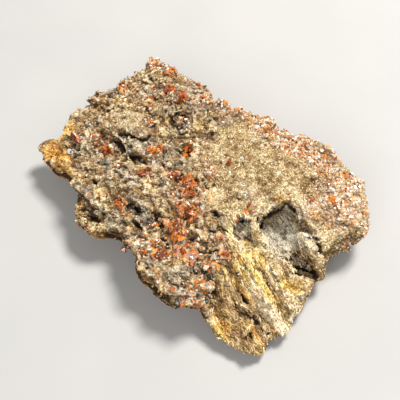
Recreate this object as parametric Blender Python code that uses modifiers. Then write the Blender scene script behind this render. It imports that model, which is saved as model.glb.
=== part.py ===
"""Wulfenite on matrix: a loose slab of porous, rusty rock about 10 cm long, set with orange crystal plates.

The slab lies flat on its broken underside. +X runs along its length, +Y across it, +Z is up, and the origin
is the centre of its bounding box, at the level of the surface that it rests on. All lengths named _MM are in
millimetres. The positions below are given before the last step, which brings that centre to the origin.
"""

import math
import random

import bmesh
import bpy
from mathutils import Euler, Matrix, Vector, noise
from mathutils.bvhtree import BVHTree

MM = 0.001
GAP_MM = 0.32  # clearance between a crystal and the rock that carries it
WELD_MM = 0.004  # points this near to each other are one

# The slab's outline at its widest level
OUTLINE_MM = [
    # near left side, from the thin tip on the left
    (-50.3, -16.0), (-44.8, -18.2), (-39.5, -19.5), (-33.0, -20.7), (-27.8, -23.6), (-21.6, -28.9),
    (-16.2, -30.0), (-13.0, -28.6), (-11.0, -27.0), (-8.4, -24.6), (-5.2, -26.4), (1.5, -29.3), (6.0, -32.5),
    (13.5, -34.0),
    # near right side, the low lobe
    (19.2, -32.0), (23.8, -28.4), (29.1, -29.7), (35.0, -31.6), (41.2, -32.2), (43.8, -27.4), (45.0, -23.5),
    (46.8, -19.0), (45.7, -10.9), (44.5, -4.4), (45.2, 1.6),
    # right end
    (43.0, 8.6), (46.4, 13.8), (49.2, 17.2), (46.8, 21.6), (42.1, 26.9), (38.8, 30.8), (29.7, 31.8),
    # far side
    (23.5, 33.2), (14.0, 30.4), (6.4, 32.9), (0.5, 30.6), (-4.6, 29.8), (-10.5, 28.0), (-14.0, 28.8),
    (-20.0, 32.6), (-28.5, 30.0), (-38.0, 32.0), (-44.5, 33.5), (-43.0, 28.0),
    # left end
    (-43.2, 21.5), (-45.5, 15.5), (-49.0, 8.5), (-50.0, -2.0), (-46.5, -10.5),
]
PLATEAU_MM = 19.0  # height of the level upper face above the table
VOXEL_MM = 0.9  # spacing of the working mesh
ROCK_TRIANGLES = 3800  # after thinning
WIDEST_LEVEL = 0.62  # the sides bulge most at this share of the height
BASE_SIZE = 0.87  # the underside's outline against the widest level's
TOP_SIZE = 0.965  # the upper face's outline against the widest level's
BASE_SHIFT_MM = (2.0, 2.5)  # the underside sits back from the near left side, which overhangs
SUNK_MM = 0.7  # the underside's lowest parts are cut off at the table by this much

# How the upper face falls away: direction, where the fall starts and ends along it, and by how much
UPPER_FALLS_MM = [
    ((-1, 0), 18.0, 50.0, 5.5),
    ((0, -1), 8.0, 32.0, 4.0),
    ((0, 1), 22.0, 34.0, 1.5),
    ((1, 0), 34.0, 50.0, 2.5),
]

# How the underside rises, in the same terms, and the even rise towards its rim
UNDER_RISES_MM = [
    ((-1, 0), 24.0, 50.0, 3.4),
    ((0, -1), 12.0, 30.0, 2.4),
]
UNDER_RIM_RISE_MM = 2.6
UNDER_RIM = (0.6, 1.1)  # it rises between these shares of the radii below, from the centre below
UNDER_CENTRE_MM = (4.0, 3.0)
UNDER_RADII_MM = (46.0, 32.0)
LOW_LOBE_MM = (8.0, 26.0)  # the near side's rise fades between these along X: the lobe's end is low
LOW_LOBE_FADE = 0.6

LOW_TOP_MM, LOW_TOP_SHARE = 6.0, 0.25  # under this height the upper face falls by this share only

# Lumps and dips of the upper face: (x, y), (radius along the slab, radius across), height
LUMPS_MM = [
    ((-31.0, 4.0), (7.5, 6.5), 2.4),  # round boss on the left
    ((-36.5, 27.5), (6.5, 5.0), 1.8),  # raised corner
    ((-10.0, 22.0), (9.0, 5.0), 1.0),
    ((14.0, 14.0), (14.0, 8.0), 1.5),  # swelling of the plateau
    ((10.4, 1.6), (4.0, 3.2), -1.5),  # soft dimples in it
    ((21.0, 14.0), (4.0, 3.0), -0.9),
    ((38.0, 20.0), (8.0, 7.0), -1.0),
    ((-24.0, -9.0), (8.0, 4.0), -1.7),  # trough left of the middle
    ((-22.0, -15.0), (7.0, 3.0), 1.0),
    ((-4.0, -18.5), (7.0, 4.5), -1.2),
    ((1.5, -5.5), (6.0, 5.0), -1.3),  # dip that holds the middle crystals
    ((9.0, -26.0), (6.0, 4.5), 1.4),  # nose over the near edge
    ((18.0, -29.0), (5.0, 4.0), 0.8),
    ((-19.0, -27.5), (8.5, 3.6), -4.6),  # low ledge on the near side
    ((-47.5, -14.0), (6.0, 5.0), -1.2),
    ((-46.0, 2.0), (5.0, 6.0), -1.5),
]

# The spaces that are hollow: name, (x, y), depth of the middle below the upper face, radii, turn in degrees
HOLLOWS_MM = [
    ("big_hollow", (31.0, 1.8), 1.4, (10.6, 6.4, 8.4), -34),
    ("big_hollow_undercut", (28.0, 5.4), 5.2, (6.4, 4.8, 4.2), -32),
    ("big_hollow_mouth", (39.6, -2.8), 0.4, (9.5, 4.6, 6.0), -20),
    ("ledge_undercut", (41.5, 0.2), 5.2, (7.0, 3.2, 2.6), -20),
    ("side_hollow", (20.6, -4.6), 2.2, (3.6, 2.8, 5.0), -30),
    ("right_hollow", (39.5, 5.4), 1.0, (3.4, 1.7, 2.8), -12),
    ("trough_upper", (-17.6, 14.4), 1.0, (4.4, 2.9, 4.0), -45),
    ("trough_middle", (-13.6, 10.2), 0.6, (4.0, 2.2, 3.2), -50),
    ("trough_lower", (-9.2, 6.4), 1.0, (2.6, 2.0, 3.4), -50),
    ("crack_left", (-34.5, -3.8), 0.6, (6.4, 1.4, 3.6), 8),
    ("crack_left_middle", (-26.5, -4.2), 0.6, (5.0, 1.3, 3.2), -14),
    ("crack_right", (-17.6, -4.8), 0.8, (5.4, 1.4, 4.0), -4),
    ("crack_boss", (-25.0, 10.0), 0.6, (4.4, 1.4, 3.0), -48),
    ("pit_left", (-25.2, -11.4), 0.8, (2.6, 1.7, 2.8), 20),
    ("pit_near_first", (-9.6, -17.2), 0.8, (2.2, 1.7, 3.6), 20),
    ("pit_near_second", (-1.4, -16.2), 0.8, (2.8, 1.7, 3.6), -35),
    ("pit_near_third", (-4.8, -21.8), 0.8, (2.6, 1.5, 3.2), -20),
    ("pit_middle", (11.5, -15.5), 0.8, (2.6, 1.8, 3.0), 30),
    ("far_notch", (-12.3, 32.6), 3.0, (3.6, 3.8, 9.0), 0),
]
CUTTER_LUMPINESS = 0.28
CUTTER_LUMPS = 1.7  # lumps to each radius of a hollow

# The broken slope on the near right, below the line that starts here and falls this way
SLOPE_START_MM = (17.0, -7.0)
SLOPE_TURN = math.radians(-45)
SLOPE_DROP_MM = 11.0
SLOPE_LENGTH_MM = 32.0
SLOPE_EDGE_MM = (14.0, -9.0)  # its left edge passes here
SLOPE_EDGE_TURN = math.radians(-63.4)  # and runs this way
SLOPE_EDGE_WIDTH_MM = (-2.0, 4.0)
RIB_TURN = math.radians(-24)  # its ribs run this way
RIB_SPACING_MM = 5.6
RIB_HEIGHT_MM = 1.6
RIB_WAVER, RIB_WAVER_MM = 3.5, 14.0  # the ribs wander by this angle over this distance
RIB_FADE = (0.02, 0.25)  # shares of the slope between which the ribs come up
SLOPE_MOST = 1.15  # the slope falls on past its length, to this share

# The broken skin: height and width of each kind of relief
KNOB_HEIGHT_MM, KNOB_WIDTH_MM, KNOB_OCTAVES = 1.45, 8.5, 4
KNOB_ROUGHNESS, KNOB_FINER = 0.9, 2.1
BEDDING_HEIGHT_MM, BEDDING_MM = 0.7, (16.0, 3.8, 2.6)
BEDDING_STEP = 0.3  # a bed's edge is a step this wide in the noise that lays the beds out
CELL_HEIGHT_MM, CELL_WIDTH_MM, CELL_MIDDLE = 1.3, 4.4, 0.45
SLOPE_CALM = 0.5  # the slope's knobs and lumps are lower by this share

# Crystals grown together: name, (x, y), number of plates, width of the largest plate
CLUSTERS_MM = [
    ("wulfenite_cluster_corner", (-41.5, 30.2), 3, 3.4),
    ("wulfenite_cluster_corner_edge", (-33.5, 28.8), 3, 2.9),
    ("wulfenite_cluster_left_end", (-42.0, 15.6), 3, 3.0),
    ("wulfenite_cluster_boss", (-29.4, 13.6), 3, 3.2),
    ("wulfenite_cluster_boss_crack", (-22.0, 7.2), 3, 3.0),
    ("wulfenite_cluster_left_crack", (-35.0, -6.4), 3, 3.0),
    ("wulfenite_cluster_far_notch", (-15.6, 26.0), 4, 3.0),
    ("wulfenite_cluster_trough", (-7.0, 9.0), 3, 2.8),
    ("wulfenite_cluster_plateau_edge", (2.2, 3.6), 3, 3.6),
    ("wulfenite_cluster_middle", (0.2, -4.2), 5, 4.6),
    ("wulfenite_cluster_middle_near", (5.3, -9.8), 5, 4.8),
    ("wulfenite_cluster_near", (2.4, -24.4), 4, 4.0),
    ("wulfenite_cluster_slope_edge", (16.6, -11.4), 4, 3.2),
    ("wulfenite_cluster_slope", (20.0, -19.2), 3, 3.0),
    ("wulfenite_cluster_nose", (23.0, -24.6), 4, 3.8),
    ("wulfenite_cluster_nose_tip", (21.8, -30.2), 4, 3.4),
    ("wulfenite_cluster_nose_left", (14.6, -31.2), 3, 3.0),
    ("wulfenite_cluster_ledge", (-4.2, -27.2), 3, 2.8),
    ("wulfenite_cluster_right_end", (48.4, 14.6), 3, 3.0),
    ("wulfenite_cluster_hollow_edge", (35.0, 10.6), 3, 2.8),
]

# Single crystals: name, (x, y), (length, width, thickness), turn and lean in degrees
PLATES_MM = [
    ("wulfenite_plate_largest", (12.6, -20.4), (7.2, 2.9, 1.7), 8, 14),
    ("wulfenite_plate_second", (6.4, -16.8), (4.8, 3.9, 1.5), -24, 38),
    ("wulfenite_plate_third", (7.6, -24.6), (3.4, 2.6, 1.2), 60, 30),
    ("wulfenite_plate_corner", (-27.4, 21.8), (2.6, 2.2, 1.0), 20, 50),
    ("wulfenite_plate_left", (-40.6, -8.6), (2.4, 2.2, 0.9), -30, 40),
    ("wulfenite_plate_crack", (-28.6, -7.4), (2.8, 2.0, 1.0), 15, 36),
    ("wulfenite_plate_middle_left", (-12.6, -8.0), (2.6, 2.0, 0.9), 50, 55),
    ("wulfenite_plate_pale", (-15.4, 0.8), (3.2, 1.5, 1.0), 64, 30),
    ("wulfenite_plate_pit", (-13.6, -19.4), (2.6, 1.9, 0.9), 75, 48),
    ("wulfenite_plate_plateau", (-5.0, -2.6), (2.8, 2.2, 1.0), 35, 60),
    ("wulfenite_plate_far", (-21.0, 20.6), (2.6, 2.2, 1.0), -15, 50),
    ("wulfenite_plate_slope", (21.6, -13.8), (2.8, 2.0, 1.0), 40, 46),
    ("wulfenite_plate_hollow", (19.0, 1.4), (2.4, 2.0, 0.9), 10, 40),
    ("quartz_plateau", (14.8, 3.4), (2.4, 2.0, 1.6), 30, 55),
    ("quartz_left", (-38.4, -13.2), (2.2, 1.8, 1.5), 10, 50),
    ("quartz_nose", (13.6, -25.8), (2.4, 2.0, 1.6), 55, 45),
    ("quartz_right", (33.6, 14.0), (2.4, 2.1, 1.6), 25, 50),
]

GIRDLE = 1.14  # a plate is this much wider at half its thickness
PLATE_LIFT = 0.3  # a single plate's middle is above the rock by this share of its width, where it leans
PLATE_THICKNESS_LIFT = 0.35  # and by this share of its thickness

# Plates in a cluster: shares of the largest plate's width, of the plate's own width, and how they stand
SMALLER_PLATES = (0.6, 0.95)
PLATE_OBLONG = (0.7, 1.0)
PLATE_THICKNESS = (0.24, 0.36)
PLATE_STANDING = (-0.2, 0.5)
HUB_HEIGHT = 0.16
PLATE_SPREAD = 0.42
SPREAD_FLATNESS = 0.6
ROOFED_PLATES = 2  # the first plates have a girdle, and the smaller ones are plain tablets

# Crusts of small crystals: name, points along the middle of the strip, half width, plates in it, their width
CRUSTS_MM = [
    ("wulfenite_druse_far_left", [(-6.5, 28.4), (3.5, 30.2)], 4.2, 7, 2.4),
    ("wulfenite_druse_far_right", [(15.5, 29.5), (24.0, 29.0)], 4.6, 8, 2.4),
    ("wulfenite_druse_right_end", [(37.4, 24.0), (43.0, 21.5)], 5.4, 8, 2.4),
]
HOLLOW_DRUSE_MM = ("hollow_druse", (31.8, 3.4), (8.0, 6.6), 13.0)  # name, middle, reach, highest level
CRUST_THICK_MM = 0.6
CRUST_SPIKE_MM = 0.9  # the crust's points stand this much higher at most
CRUST_POINT_MM2 = 3.0  # where it has this much room for one
CRUST_ROOT_MM = 0.1  # a crust starts this far off the rock before the gap is cut
CRUST_STEEPEST = -0.2  # it covers faces whose normal has at least this much of up
CRUST_PLATE_LIFT_MM = 0.9
CRUST_PLATE_ASIDE = 0.8  # its plates lie within this share of its half width
CRUST_PLATES = (0.7, 1.0)
CRUST_PLATE_OBLONG = (0.8, 1.0)
CRUST_PLATE_THICKNESS = (0.3, 0.45)
CRUST_SPIKES = (0.3, 1.0)
FLOOR_STEEPEST = 0.2  # the same limit in the hollow, whose walls stay bare

RIM_SHARES = (1.0, 0.98, 0.96, 0.94, 0.92, 0.9)  # tries inwards for the rock under a place at the rim
SKY_MM = 60.0  # higher than everything


def smooth_step(low, high, value):
    """0 at low, 1 at high, eased in between. low may be above high."""
    t = min(1.0, max(0.0, (value - low) / (high - low)))
    return t * t * (3 - 2 * t)


def along(direction, x, y):
    return direction[0] * x + direction[1] * y


def heading(turn):
    """The unit vector that points this way in the slab's plane."""
    return (math.cos(turn), math.sin(turn))


def clear_scene():
    for obj in list(bpy.data.objects):
        bpy.data.objects.remove(obj, do_unlink=True)


def new_collection(name):
    made = bpy.data.collections.new(name)
    bpy.context.scene.collection.children.link(made)
    return made


def new_object(name, mesh, collection):
    obj = bpy.data.objects.new(name, mesh)
    collection.objects.link(obj)
    return obj


def object_from(bm, name, collection):
    mesh = bpy.data.meshes.new(name)
    bm.to_mesh(mesh)
    bm.free()
    return new_object(name, mesh, collection)


def make_material(name, colour, roughness):
    material = bpy.data.materials.new(name)
    material.use_nodes = True
    shader = material.node_tree.nodes["Principled BSDF"]
    shader.inputs["Base Color"].default_value = (*colour, 1.0)
    shader.inputs["Roughness"].default_value = roughness
    material.diffuse_color = (*colour, 1.0)
    return material


def hide_cutter(obj):
    obj.hide_render = True
    obj.display_type = "WIRE"
    return obj


def bake(obj):
    """Replaces the object's mesh by its evaluated one, so that its modifiers are used up."""
    bpy.context.view_layer.update()
    graph = bpy.context.evaluated_depsgraph_get()
    mesh = bpy.data.meshes.new_from_object(obj.evaluated_get(graph))
    obj.modifiers.clear()
    obj.data = mesh
    return obj


def add_boolean(obj, operation, other, self_crossing=False):
    modifier = obj.modifiers.new(operation.title(), "BOOLEAN")
    modifier.operation = operation
    modifier.object = other
    modifier.use_self = self_crossing
    return modifier


def delete_loose_faces(bm):
    """Keeps only the largest body: faces that join edge to edge, two at each edge."""
    seen = set()
    bodies = []
    for start in bm.faces:
        if start in seen:
            continue
        seen.add(start)
        body = [start]
        for face in body:
            joins = [edge for edge in face.edges if len(edge.link_faces) == 2]
            near = [other for edge in joins for other in edge.link_faces if other not in seen]
            seen.update(near)
            body.extend(dict.fromkeys(near))
        bodies.append(body)
    bodies.sort(key=lambda body: sum(face.calc_area() for face in body))
    loose = [face for body in bodies[:-1] for face in body]
    bmesh.ops.delete(bm, geom=loose, context="FACES")


def keep_largest_body(obj):
    """Drops loose chips, such as a sliver that a cut has parted from its crystal."""
    bm = bmesh.new()
    bm.from_mesh(obj.data)
    bmesh.ops.remove_doubles(bm, verts=bm.verts, dist=WELD_MM * MM)
    bmesh.ops.dissolve_degenerate(bm, edges=bm.edges, dist=WELD_MM * MM)
    bmesh.ops.triangulate(bm, faces=bm.faces)
    delete_loose_faces(bm)
    bm.to_mesh(obj.data)
    bm.free()
    return obj


def voxel_remesh(obj, size):
    modifier = obj.modifiers.new("Remesh", "REMESH")
    modifier.mode = "VOXEL"
    modifier.voxel_size = size
    return bake(obj)


def outline_prism(collection):
    """The slab's outline as a filled curve, extruded to the plateau's height."""
    curve = bpy.data.curves.new("outline", "CURVE")
    curve.dimensions = "2D"
    curve.fill_mode = "BOTH"
    curve.extrude = PLATEAU_MM * MM / 2
    spline = curve.splines.new("POLY")
    spline.points.add(len(OUTLINE_MM) - 1)
    for point, (x, y) in zip(spline.points, OUTLINE_MM):
        point.co = (x * MM, y * MM, 0, 1)
    spline.use_cyclic_u = True
    guide = new_object("outline", curve, collection)
    bpy.context.view_layer.update()
    graph = bpy.context.evaluated_depsgraph_get()
    mesh = bpy.data.meshes.new_from_object(guide.evaluated_get(graph))
    bpy.data.objects.remove(guide)
    bm = bmesh.new()
    bm.from_mesh(mesh)
    bmesh.ops.remove_doubles(bm, verts=bm.verts, dist=0.01 * MM)
    bmesh.ops.recalc_face_normals(bm, faces=bm.faces)
    return object_from(bm, "matrix", collection)


def slope_share(x, y):
    """0 on the level upper face, rising to 1 along the broken slope."""
    down = along(heading(SLOPE_TURN), x - SLOPE_START_MM[0], y - SLOPE_START_MM[1])
    right_of_edge = heading(SLOPE_EDGE_TURN + math.pi / 2)
    inside = along(right_of_edge, x - SLOPE_EDGE_MM[0], y - SLOPE_EDGE_MM[1])
    fall = min(SLOPE_MOST, max(0.0, down / SLOPE_LENGTH_MM))
    return fall * smooth_step(*SLOPE_EDGE_WIDTH_MM, inside)


def top_height(x, y):
    """Height of the upper face at a point of the slab, in mm, before it is roughened."""
    height = PLATEAU_MM
    for direction, start, end, drop in UPPER_FALLS_MM:
        height -= drop * smooth_step(start, end, along(direction, x, y))
    for (cx, cy), (rx, ry), rise in LUMPS_MM:
        height += rise * math.exp(-(((x - cx) / rx) ** 2) - ((y - cy) / ry) ** 2)
    share = slope_share(x, y)
    height -= SLOPE_DROP_MM * share
    across = along(heading(RIB_TURN + math.pi / 2), x, y)
    waver = RIB_WAVER * noise.noise(Vector((x / RIB_WAVER_MM, y / RIB_WAVER_MM, 3.0)))
    rib = math.sin(2 * math.pi * across / RIB_SPACING_MM + waver)
    height += RIB_HEIGHT_MM * rib * smooth_step(*RIB_FADE, share)
    return max(height, LOW_TOP_MM + LOW_TOP_SHARE * (height - LOW_TOP_MM))


def bottom_height(x, y):
    """Height of the underside, which rises towards the rim, and most under the near left side."""
    far_out = math.hypot(*((p - c) / r for p, c, r in zip((x, y), UNDER_CENTRE_MM, UNDER_RADII_MM)))
    rise = UNDER_RIM_RISE_MM * smooth_step(*UNDER_RIM, far_out)
    for direction, start, end, height in UNDER_RISES_MM:
        rise += height * smooth_step(start, end, along(direction, x, y))
    if y < 0:
        rise *= 1 - LOW_LOBE_FADE * smooth_step(*LOW_LOBE_MM, x)
    return rise - SUNK_MM


def shape_slab(slab):
    """Moves the prism's points to the slab's upper face, underside and bulging sides."""
    for vert in slab.data.vertices:
        x, y = vert.co.x / MM, vert.co.y / MM
        level = min(1.0, max(0.0, vert.co.z / MM / PLATEAU_MM + 0.5))
        if level < WIDEST_LEVEL:
            share = smooth_step(0.0, WIDEST_LEVEL, level)
            size = BASE_SIZE + (1 - BASE_SIZE) * share
            back = 1 - share
        else:
            size = 1 - (1 - TOP_SIZE) * smooth_step(WIDEST_LEVEL, 1.0, level)
            back = 0.0
        low, high = bottom_height(x, y), top_height(x, y)
        vert.co = (
            (x * size + BASE_SHIFT_MM[0] * back) * MM,
            (y * size + BASE_SHIFT_MM[1] * back) * MM,
            (low + level * (high - low)) * MM,
        )
    slab.data.update()


def hollow_cutter(name, middle, depth, radii, turn, collection):
    """A lumpy ball that stands for the space in a hollow."""
    centre = Vector((*middle, top_height(*middle) - depth))
    bm = bmesh.new()
    bmesh.ops.create_icosphere(bm, subdivisions=3, radius=1.0)
    seed = centre * 0.37
    for vert in bm.verts:
        vert.co *= 1 + CUTTER_LUMPINESS * noise.noise(vert.co * CUTTER_LUMPS + seed)
    turned = Euler((0, 0, math.radians(turn)))
    bm.transform(Matrix.LocRotScale(centre * MM, turned, Vector(radii) * MM))
    return hide_cutter(object_from(bm, name, collection))


def relief_at(point):
    """How far the rock's skin stands out at a point, in mm: knobs, beds along the slab, and small lumps."""
    p = point / MM
    knobs = noise.fractal(p / KNOB_WIDTH_MM, KNOB_ROUGHNESS, KNOB_FINER, KNOB_OCTAVES)
    layer = noise.noise(Vector(c / width for c, width in zip(p, BEDDING_MM)))
    bedding = 2 * smooth_step(-BEDDING_STEP, BEDDING_STEP, layer) - 1
    cells = CELL_MIDDLE - noise.voronoi(p / CELL_WIDTH_MM)[0][0]
    calm = 1 - SLOPE_CALM * smooth_step(*RIB_FADE, slope_share(p.x, p.y))
    return calm * (KNOB_HEIGHT_MM * knobs + CELL_HEIGHT_MM * cells) + BEDDING_HEIGHT_MM * bedding


def roughen(slab):
    slab.data.update()
    moves = [vert.normal * relief_at(vert.co) * MM for vert in slab.data.vertices]
    for vert, move in zip(slab.data.vertices, moves):
        vert.co += move
    slab.data.update()


def cut_flat_base(slab, collection):
    """Everything under the table's level is cut away, which leaves the worn flat that the slab rests on."""
    length, width, depth = 140 * MM, 100 * MM, 10 * MM
    bm = bmesh.new()
    bmesh.ops.create_cube(bm, size=1.0)
    bm.transform(Matrix.Translation((0, 0, -depth / 2)) @ Matrix.Diagonal((length, width, depth, 1)))
    add_boolean(slab, "DIFFERENCE", hide_cutter(object_from(bm, "under_table", collection)))
    bake(slab)


def thin_out(slab, triangles):
    slab.data.calc_loop_triangles()
    modifier = slab.modifiers.new("Thin", "DECIMATE")
    modifier.ratio = triangles / len(slab.data.loop_triangles)
    bake(slab)


def make_rock(parts, cutters, material):
    slab = outline_prism(parts)
    voxel_remesh(slab, VOXEL_MM * MM)
    shape_slab(slab)
    for row in HOLLOWS_MM:
        add_boolean(slab, "DIFFERENCE", hollow_cutter(*row, cutters))
    bake(slab)
    voxel_remesh(slab, VOXEL_MM * MM)
    roughen(slab)
    thin_out(slab, ROCK_TRIANGLES)
    cut_flat_base(slab, cutters)
    keep_largest_body(slab)
    slab.data.materials.clear()
    slab.data.materials.append(material)
    return slab


def swollen(rock, distance_mm, collection):
    """The rock grown by a small distance, which cuts the gap between it and what it carries."""
    mesh = rock.data.copy()
    moves = [vert.normal * distance_mm * MM for vert in mesh.vertices]
    for vert, move in zip(mesh.vertices, moves):
        vert.co += move
    mesh.update()
    return hide_cutter(new_object("rock_and_gap", mesh, collection))


class Ground:
    """The rock's surface, seen from above."""

    def __init__(self, rock):
        bm = bmesh.new()
        bm.from_mesh(rock.data)
        self.tree = BVHTree.FromBMesh(bm)
        bm.free()

    def at(self, x_mm, y_mm):
        """The surface's point and normal under a place, or inwards of it where the rock ends short."""
        for share in RIM_SHARES:
            above = Vector((x_mm * share, y_mm * share, SKY_MM)) * MM
            point, normal, _, _ = self.tree.ray_cast(above, Vector((0, 0, -1)))
            if point is not None:
                return point, normal
        raise ValueError(f"no rock at {x_mm}, {y_mm}")


def plate_object(name, size_mm, place, collection, roofed=True):
    """A crystal plate: a square or oblong tablet, whose four narrow sides may be roofed to a girdle."""
    bm = bmesh.new()
    bmesh.ops.create_cube(bm, size=1.0)
    if roofed:
        upright = [edge for edge in bm.edges if abs(edge.verts[0].co.z - edge.verts[1].co.z) > 0.5]
        bmesh.ops.subdivide_edges(bm, edges=upright, cuts=1)
    for vert in bm.verts:
        if abs(vert.co.z) < 0.1:
            vert.co.x *= GIRDLE
            vert.co.y *= GIRDLE
    bm.transform(place @ Matrix.Diagonal((*(Vector(size_mm) * MM), 1)))
    bmesh.ops.recalc_face_normals(bm, faces=bm.faces)
    return object_from(bm, name, collection)


def frame_on(point, normal, thin_axis, spin):
    """The place of a plate at a point, its thin side along thin_axis, turned by spin in its own plane."""
    z = thin_axis.normalized()
    x = normal.cross(z)
    if x.length < 0.1:
        x = Vector((1, 0, 0)).cross(z)
    x.normalize()
    turn = Matrix((x, z.cross(x), z)).transposed().to_4x4()
    return Matrix.Translation(point) @ turn @ Matrix.Rotation(spin, 4, "Z")


def random_direction(rng):
    angle = rng.uniform(0, 2 * math.pi)
    height = rng.uniform(-1, 1)
    flat = math.sqrt(1 - height * height)
    return Vector((flat * math.cos(angle), flat * math.sin(angle), height))


def join_plates(plates):
    """Unites overlapping plates in the first of them, and removes the others."""
    whole = plates[0]
    for other in plates[1:]:
        add_boolean(whole, "UNION", other)
    bake(whole)
    for other in plates[1:]:
        bpy.data.objects.remove(other)
    return whole


def cut_to_rock(obj, grown_rock, rock):
    """Cuts the part of a crystal that would lie in the rock or in the gap around it."""
    add_boolean(obj, "DIFFERENCE", grown_rock, self_crossing=True)
    add_boolean(obj, "DIFFERENCE", rock)
    bake(obj)
    return keep_largest_body(obj)


def finish_crystal(obj, material, hub):
    """Gives a crystal its material, and its origin at the place that it grows from."""
    obj.data.materials.clear()
    obj.data.materials.append(material)
    obj.data.transform(Matrix.Translation(-hub))
    obj.location = hub


def make_cluster(row, ground, grown_rock, rock, material, parts):
    """Plates that cross each other, fanned about a hub just above the rock."""
    name, (x, y), count, widest = row
    rng = random.Random(name)
    point, normal = ground.at(x, y)
    lean = (normal + Vector((0, 0, 1))).normalized()
    hub = point + lean * HUB_HEIGHT * widest * MM
    plates = []
    for index in range(count):
        width = widest * (1.0 if index == 0 else rng.uniform(*SMALLER_PLATES))
        size = (width, width * rng.uniform(*PLATE_OBLONG), width * rng.uniform(*PLATE_THICKNESS))
        thin_axis = random_direction(rng) + lean * rng.uniform(*PLATE_STANDING)
        aside = random_direction(rng) * widest * (0.0 if index == 0 else PLATE_SPREAD) * MM
        aside -= lean * aside.dot(lean) * SPREAD_FLATNESS
        place = frame_on(hub + aside, lean, thin_axis, rng.uniform(0, math.pi / 2))
        roofed = index < ROOFED_PLATES
        plates.append(plate_object(f"{name}_plate", size, place, parts, roofed))
    whole = join_plates(plates)
    whole.name = name
    cut_to_rock(whole, grown_rock, rock)
    finish_crystal(whole, material, hub)
    return whole


def make_plate(row, ground, grown_rock, rock, material, parts):
    """One crystal, leaning on the rock along its length."""
    name, (x, y), size, turn, lean_angle = row
    point, normal = ground.at(x, y)
    run = Vector((*heading(math.radians(turn)), 0))
    run = (run - normal * run.dot(normal)).normalized()
    thin_axis = Matrix.Rotation(math.radians(lean_angle), 3, run) @ normal
    place = Matrix((run, thin_axis.cross(run), thin_axis)).transposed().to_4x4()
    lift = PLATE_LIFT * size[1] * math.sin(math.radians(lean_angle)) + PLATE_THICKNESS_LIFT * size[2]
    hub = point + normal * lift * MM
    plate = plate_object(name, size, Matrix.Translation(hub) @ place, parts)
    cut_to_rock(plate, grown_rock, rock)
    finish_crystal(plate, material, hub)
    return plate


def distance_to_strip(x, y, points):
    """Distance in mm from a place to a line through the points."""
    place = Vector((x, y))
    nearest = math.inf
    for start, end in zip(points, points[1:]):
        start, end = Vector(start), Vector(end)
        share = (place - start).dot(end - start) / (end - start).length_squared
        foot = start.lerp(end, min(1.0, max(0.0, share)))
        nearest = min(nearest, (place - foot).length)
    return nearest


def rock_sheet(name, rock, wanted, rng, collection):
    """A thin closed crust of small points, over the faces whose centre (in mm) and normal are wanted."""
    bm = bmesh.new()
    bm.from_mesh(rock.data)
    bmesh.ops.triangulate(bm, faces=bm.faces)
    outward = {vert: vert.normal.copy() for vert in bm.verts}
    for vert, normal in outward.items():
        vert.co += normal * CRUST_ROOT_MM * MM
    spare = [face for face in bm.faces if not wanted(face.calc_center_median() / MM, face.normal)]
    bmesh.ops.delete(bm, geom=spare, context="FACES")
    delete_loose_faces(bm)
    while pinched := [vert for vert in bm.verts if sum(edge.is_boundary for edge in vert.link_edges) > 2]:
        bmesh.ops.delete(bm, geom=pinched, context="VERTS")
        delete_loose_faces(bm)
    outward = {tuple(vert.co): outward[vert] for vert in bm.verts}
    grown = bmesh.ops.extrude_face_region(bm, geom=bm.faces[:], use_keep_orig=True)["geom"]
    for vert in grown:
        if isinstance(vert, bmesh.types.BMVert):
            vert.co += outward[tuple(vert.co)] * CRUST_THICK_MM * MM
    bmesh.ops.recalc_face_normals(bm, faces=bm.faces)
    upper = [face for face in grown if isinstance(face, bmesh.types.BMFace)]
    for face in upper:
        if face.calc_area() > CRUST_POINT_MM2 * MM * MM:
            height = CRUST_SPIKE_MM * rng.uniform(*CRUST_SPIKES) * MM
            bmesh.ops.poke(bm, faces=[face], offset=height)
    return keep_largest_body(object_from(bm, name, collection))


def make_crust(row, ground, grown_rock, rock, material, parts):
    """A strip of small plates, standing every way in a thin sheet that follows the rock."""
    name, points, half_width, count, widest = row
    rng = random.Random(name)

    def wanted(centre, normal):
        near = distance_to_strip(centre.x, centre.y, points) < half_width
        return near and normal.z > CRUST_STEEPEST

    sheet = rock_sheet(name, rock, wanted, rng, parts)
    plates = [sheet]
    first, last = Vector(points[0]), Vector(points[-1])
    side = (last - first).orthogonal().normalized()
    for index in range(count):
        along_strip = first.lerp(last, (index + 0.5) / count)
        spot = along_strip + side * half_width * CRUST_PLATE_ASIDE * rng.uniform(-1, 1)
        point, normal = ground.at(*spot)
        width = widest * rng.uniform(*CRUST_PLATES)
        across = width * rng.uniform(*CRUST_PLATE_OBLONG)
        size = (width, across, width * rng.uniform(*CRUST_PLATE_THICKNESS))
        middle = point + normal * CRUST_PLATE_LIFT_MM * MM
        place = frame_on(middle, normal, random_direction(rng), rng.uniform(0, math.pi / 2))
        plates.append(plate_object(f"{name}_plate", size, place, parts, roofed=False))
    whole = join_plates(plates)
    cut_to_rock(whole, grown_rock, rock)
    finish_crystal(whole, material, ground.at(*first.lerp(last, 0.5))[0])
    return whole


def make_hollow_druse(grown_rock, rock, material, parts):
    """The crust of small grey crystals that lines the big hollow's floor."""
    name, (cx, cy), (rx, ry), highest = HOLLOW_DRUSE_MM

    def wanted(centre, normal):
        reach = math.hypot((centre.x - cx) / rx, (centre.y - cy) / ry)
        return reach < 1 and centre.z < highest and normal.z > FLOOR_STEEPEST

    sheet = rock_sheet(name, rock, wanted, random.Random(name), parts)
    cut_to_rock(sheet, grown_rock, rock)
    middle = sum((Vector(corner) for corner in sheet.bound_box), Vector()) / 8
    finish_crystal(sheet, material, middle)
    return sheet


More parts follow.
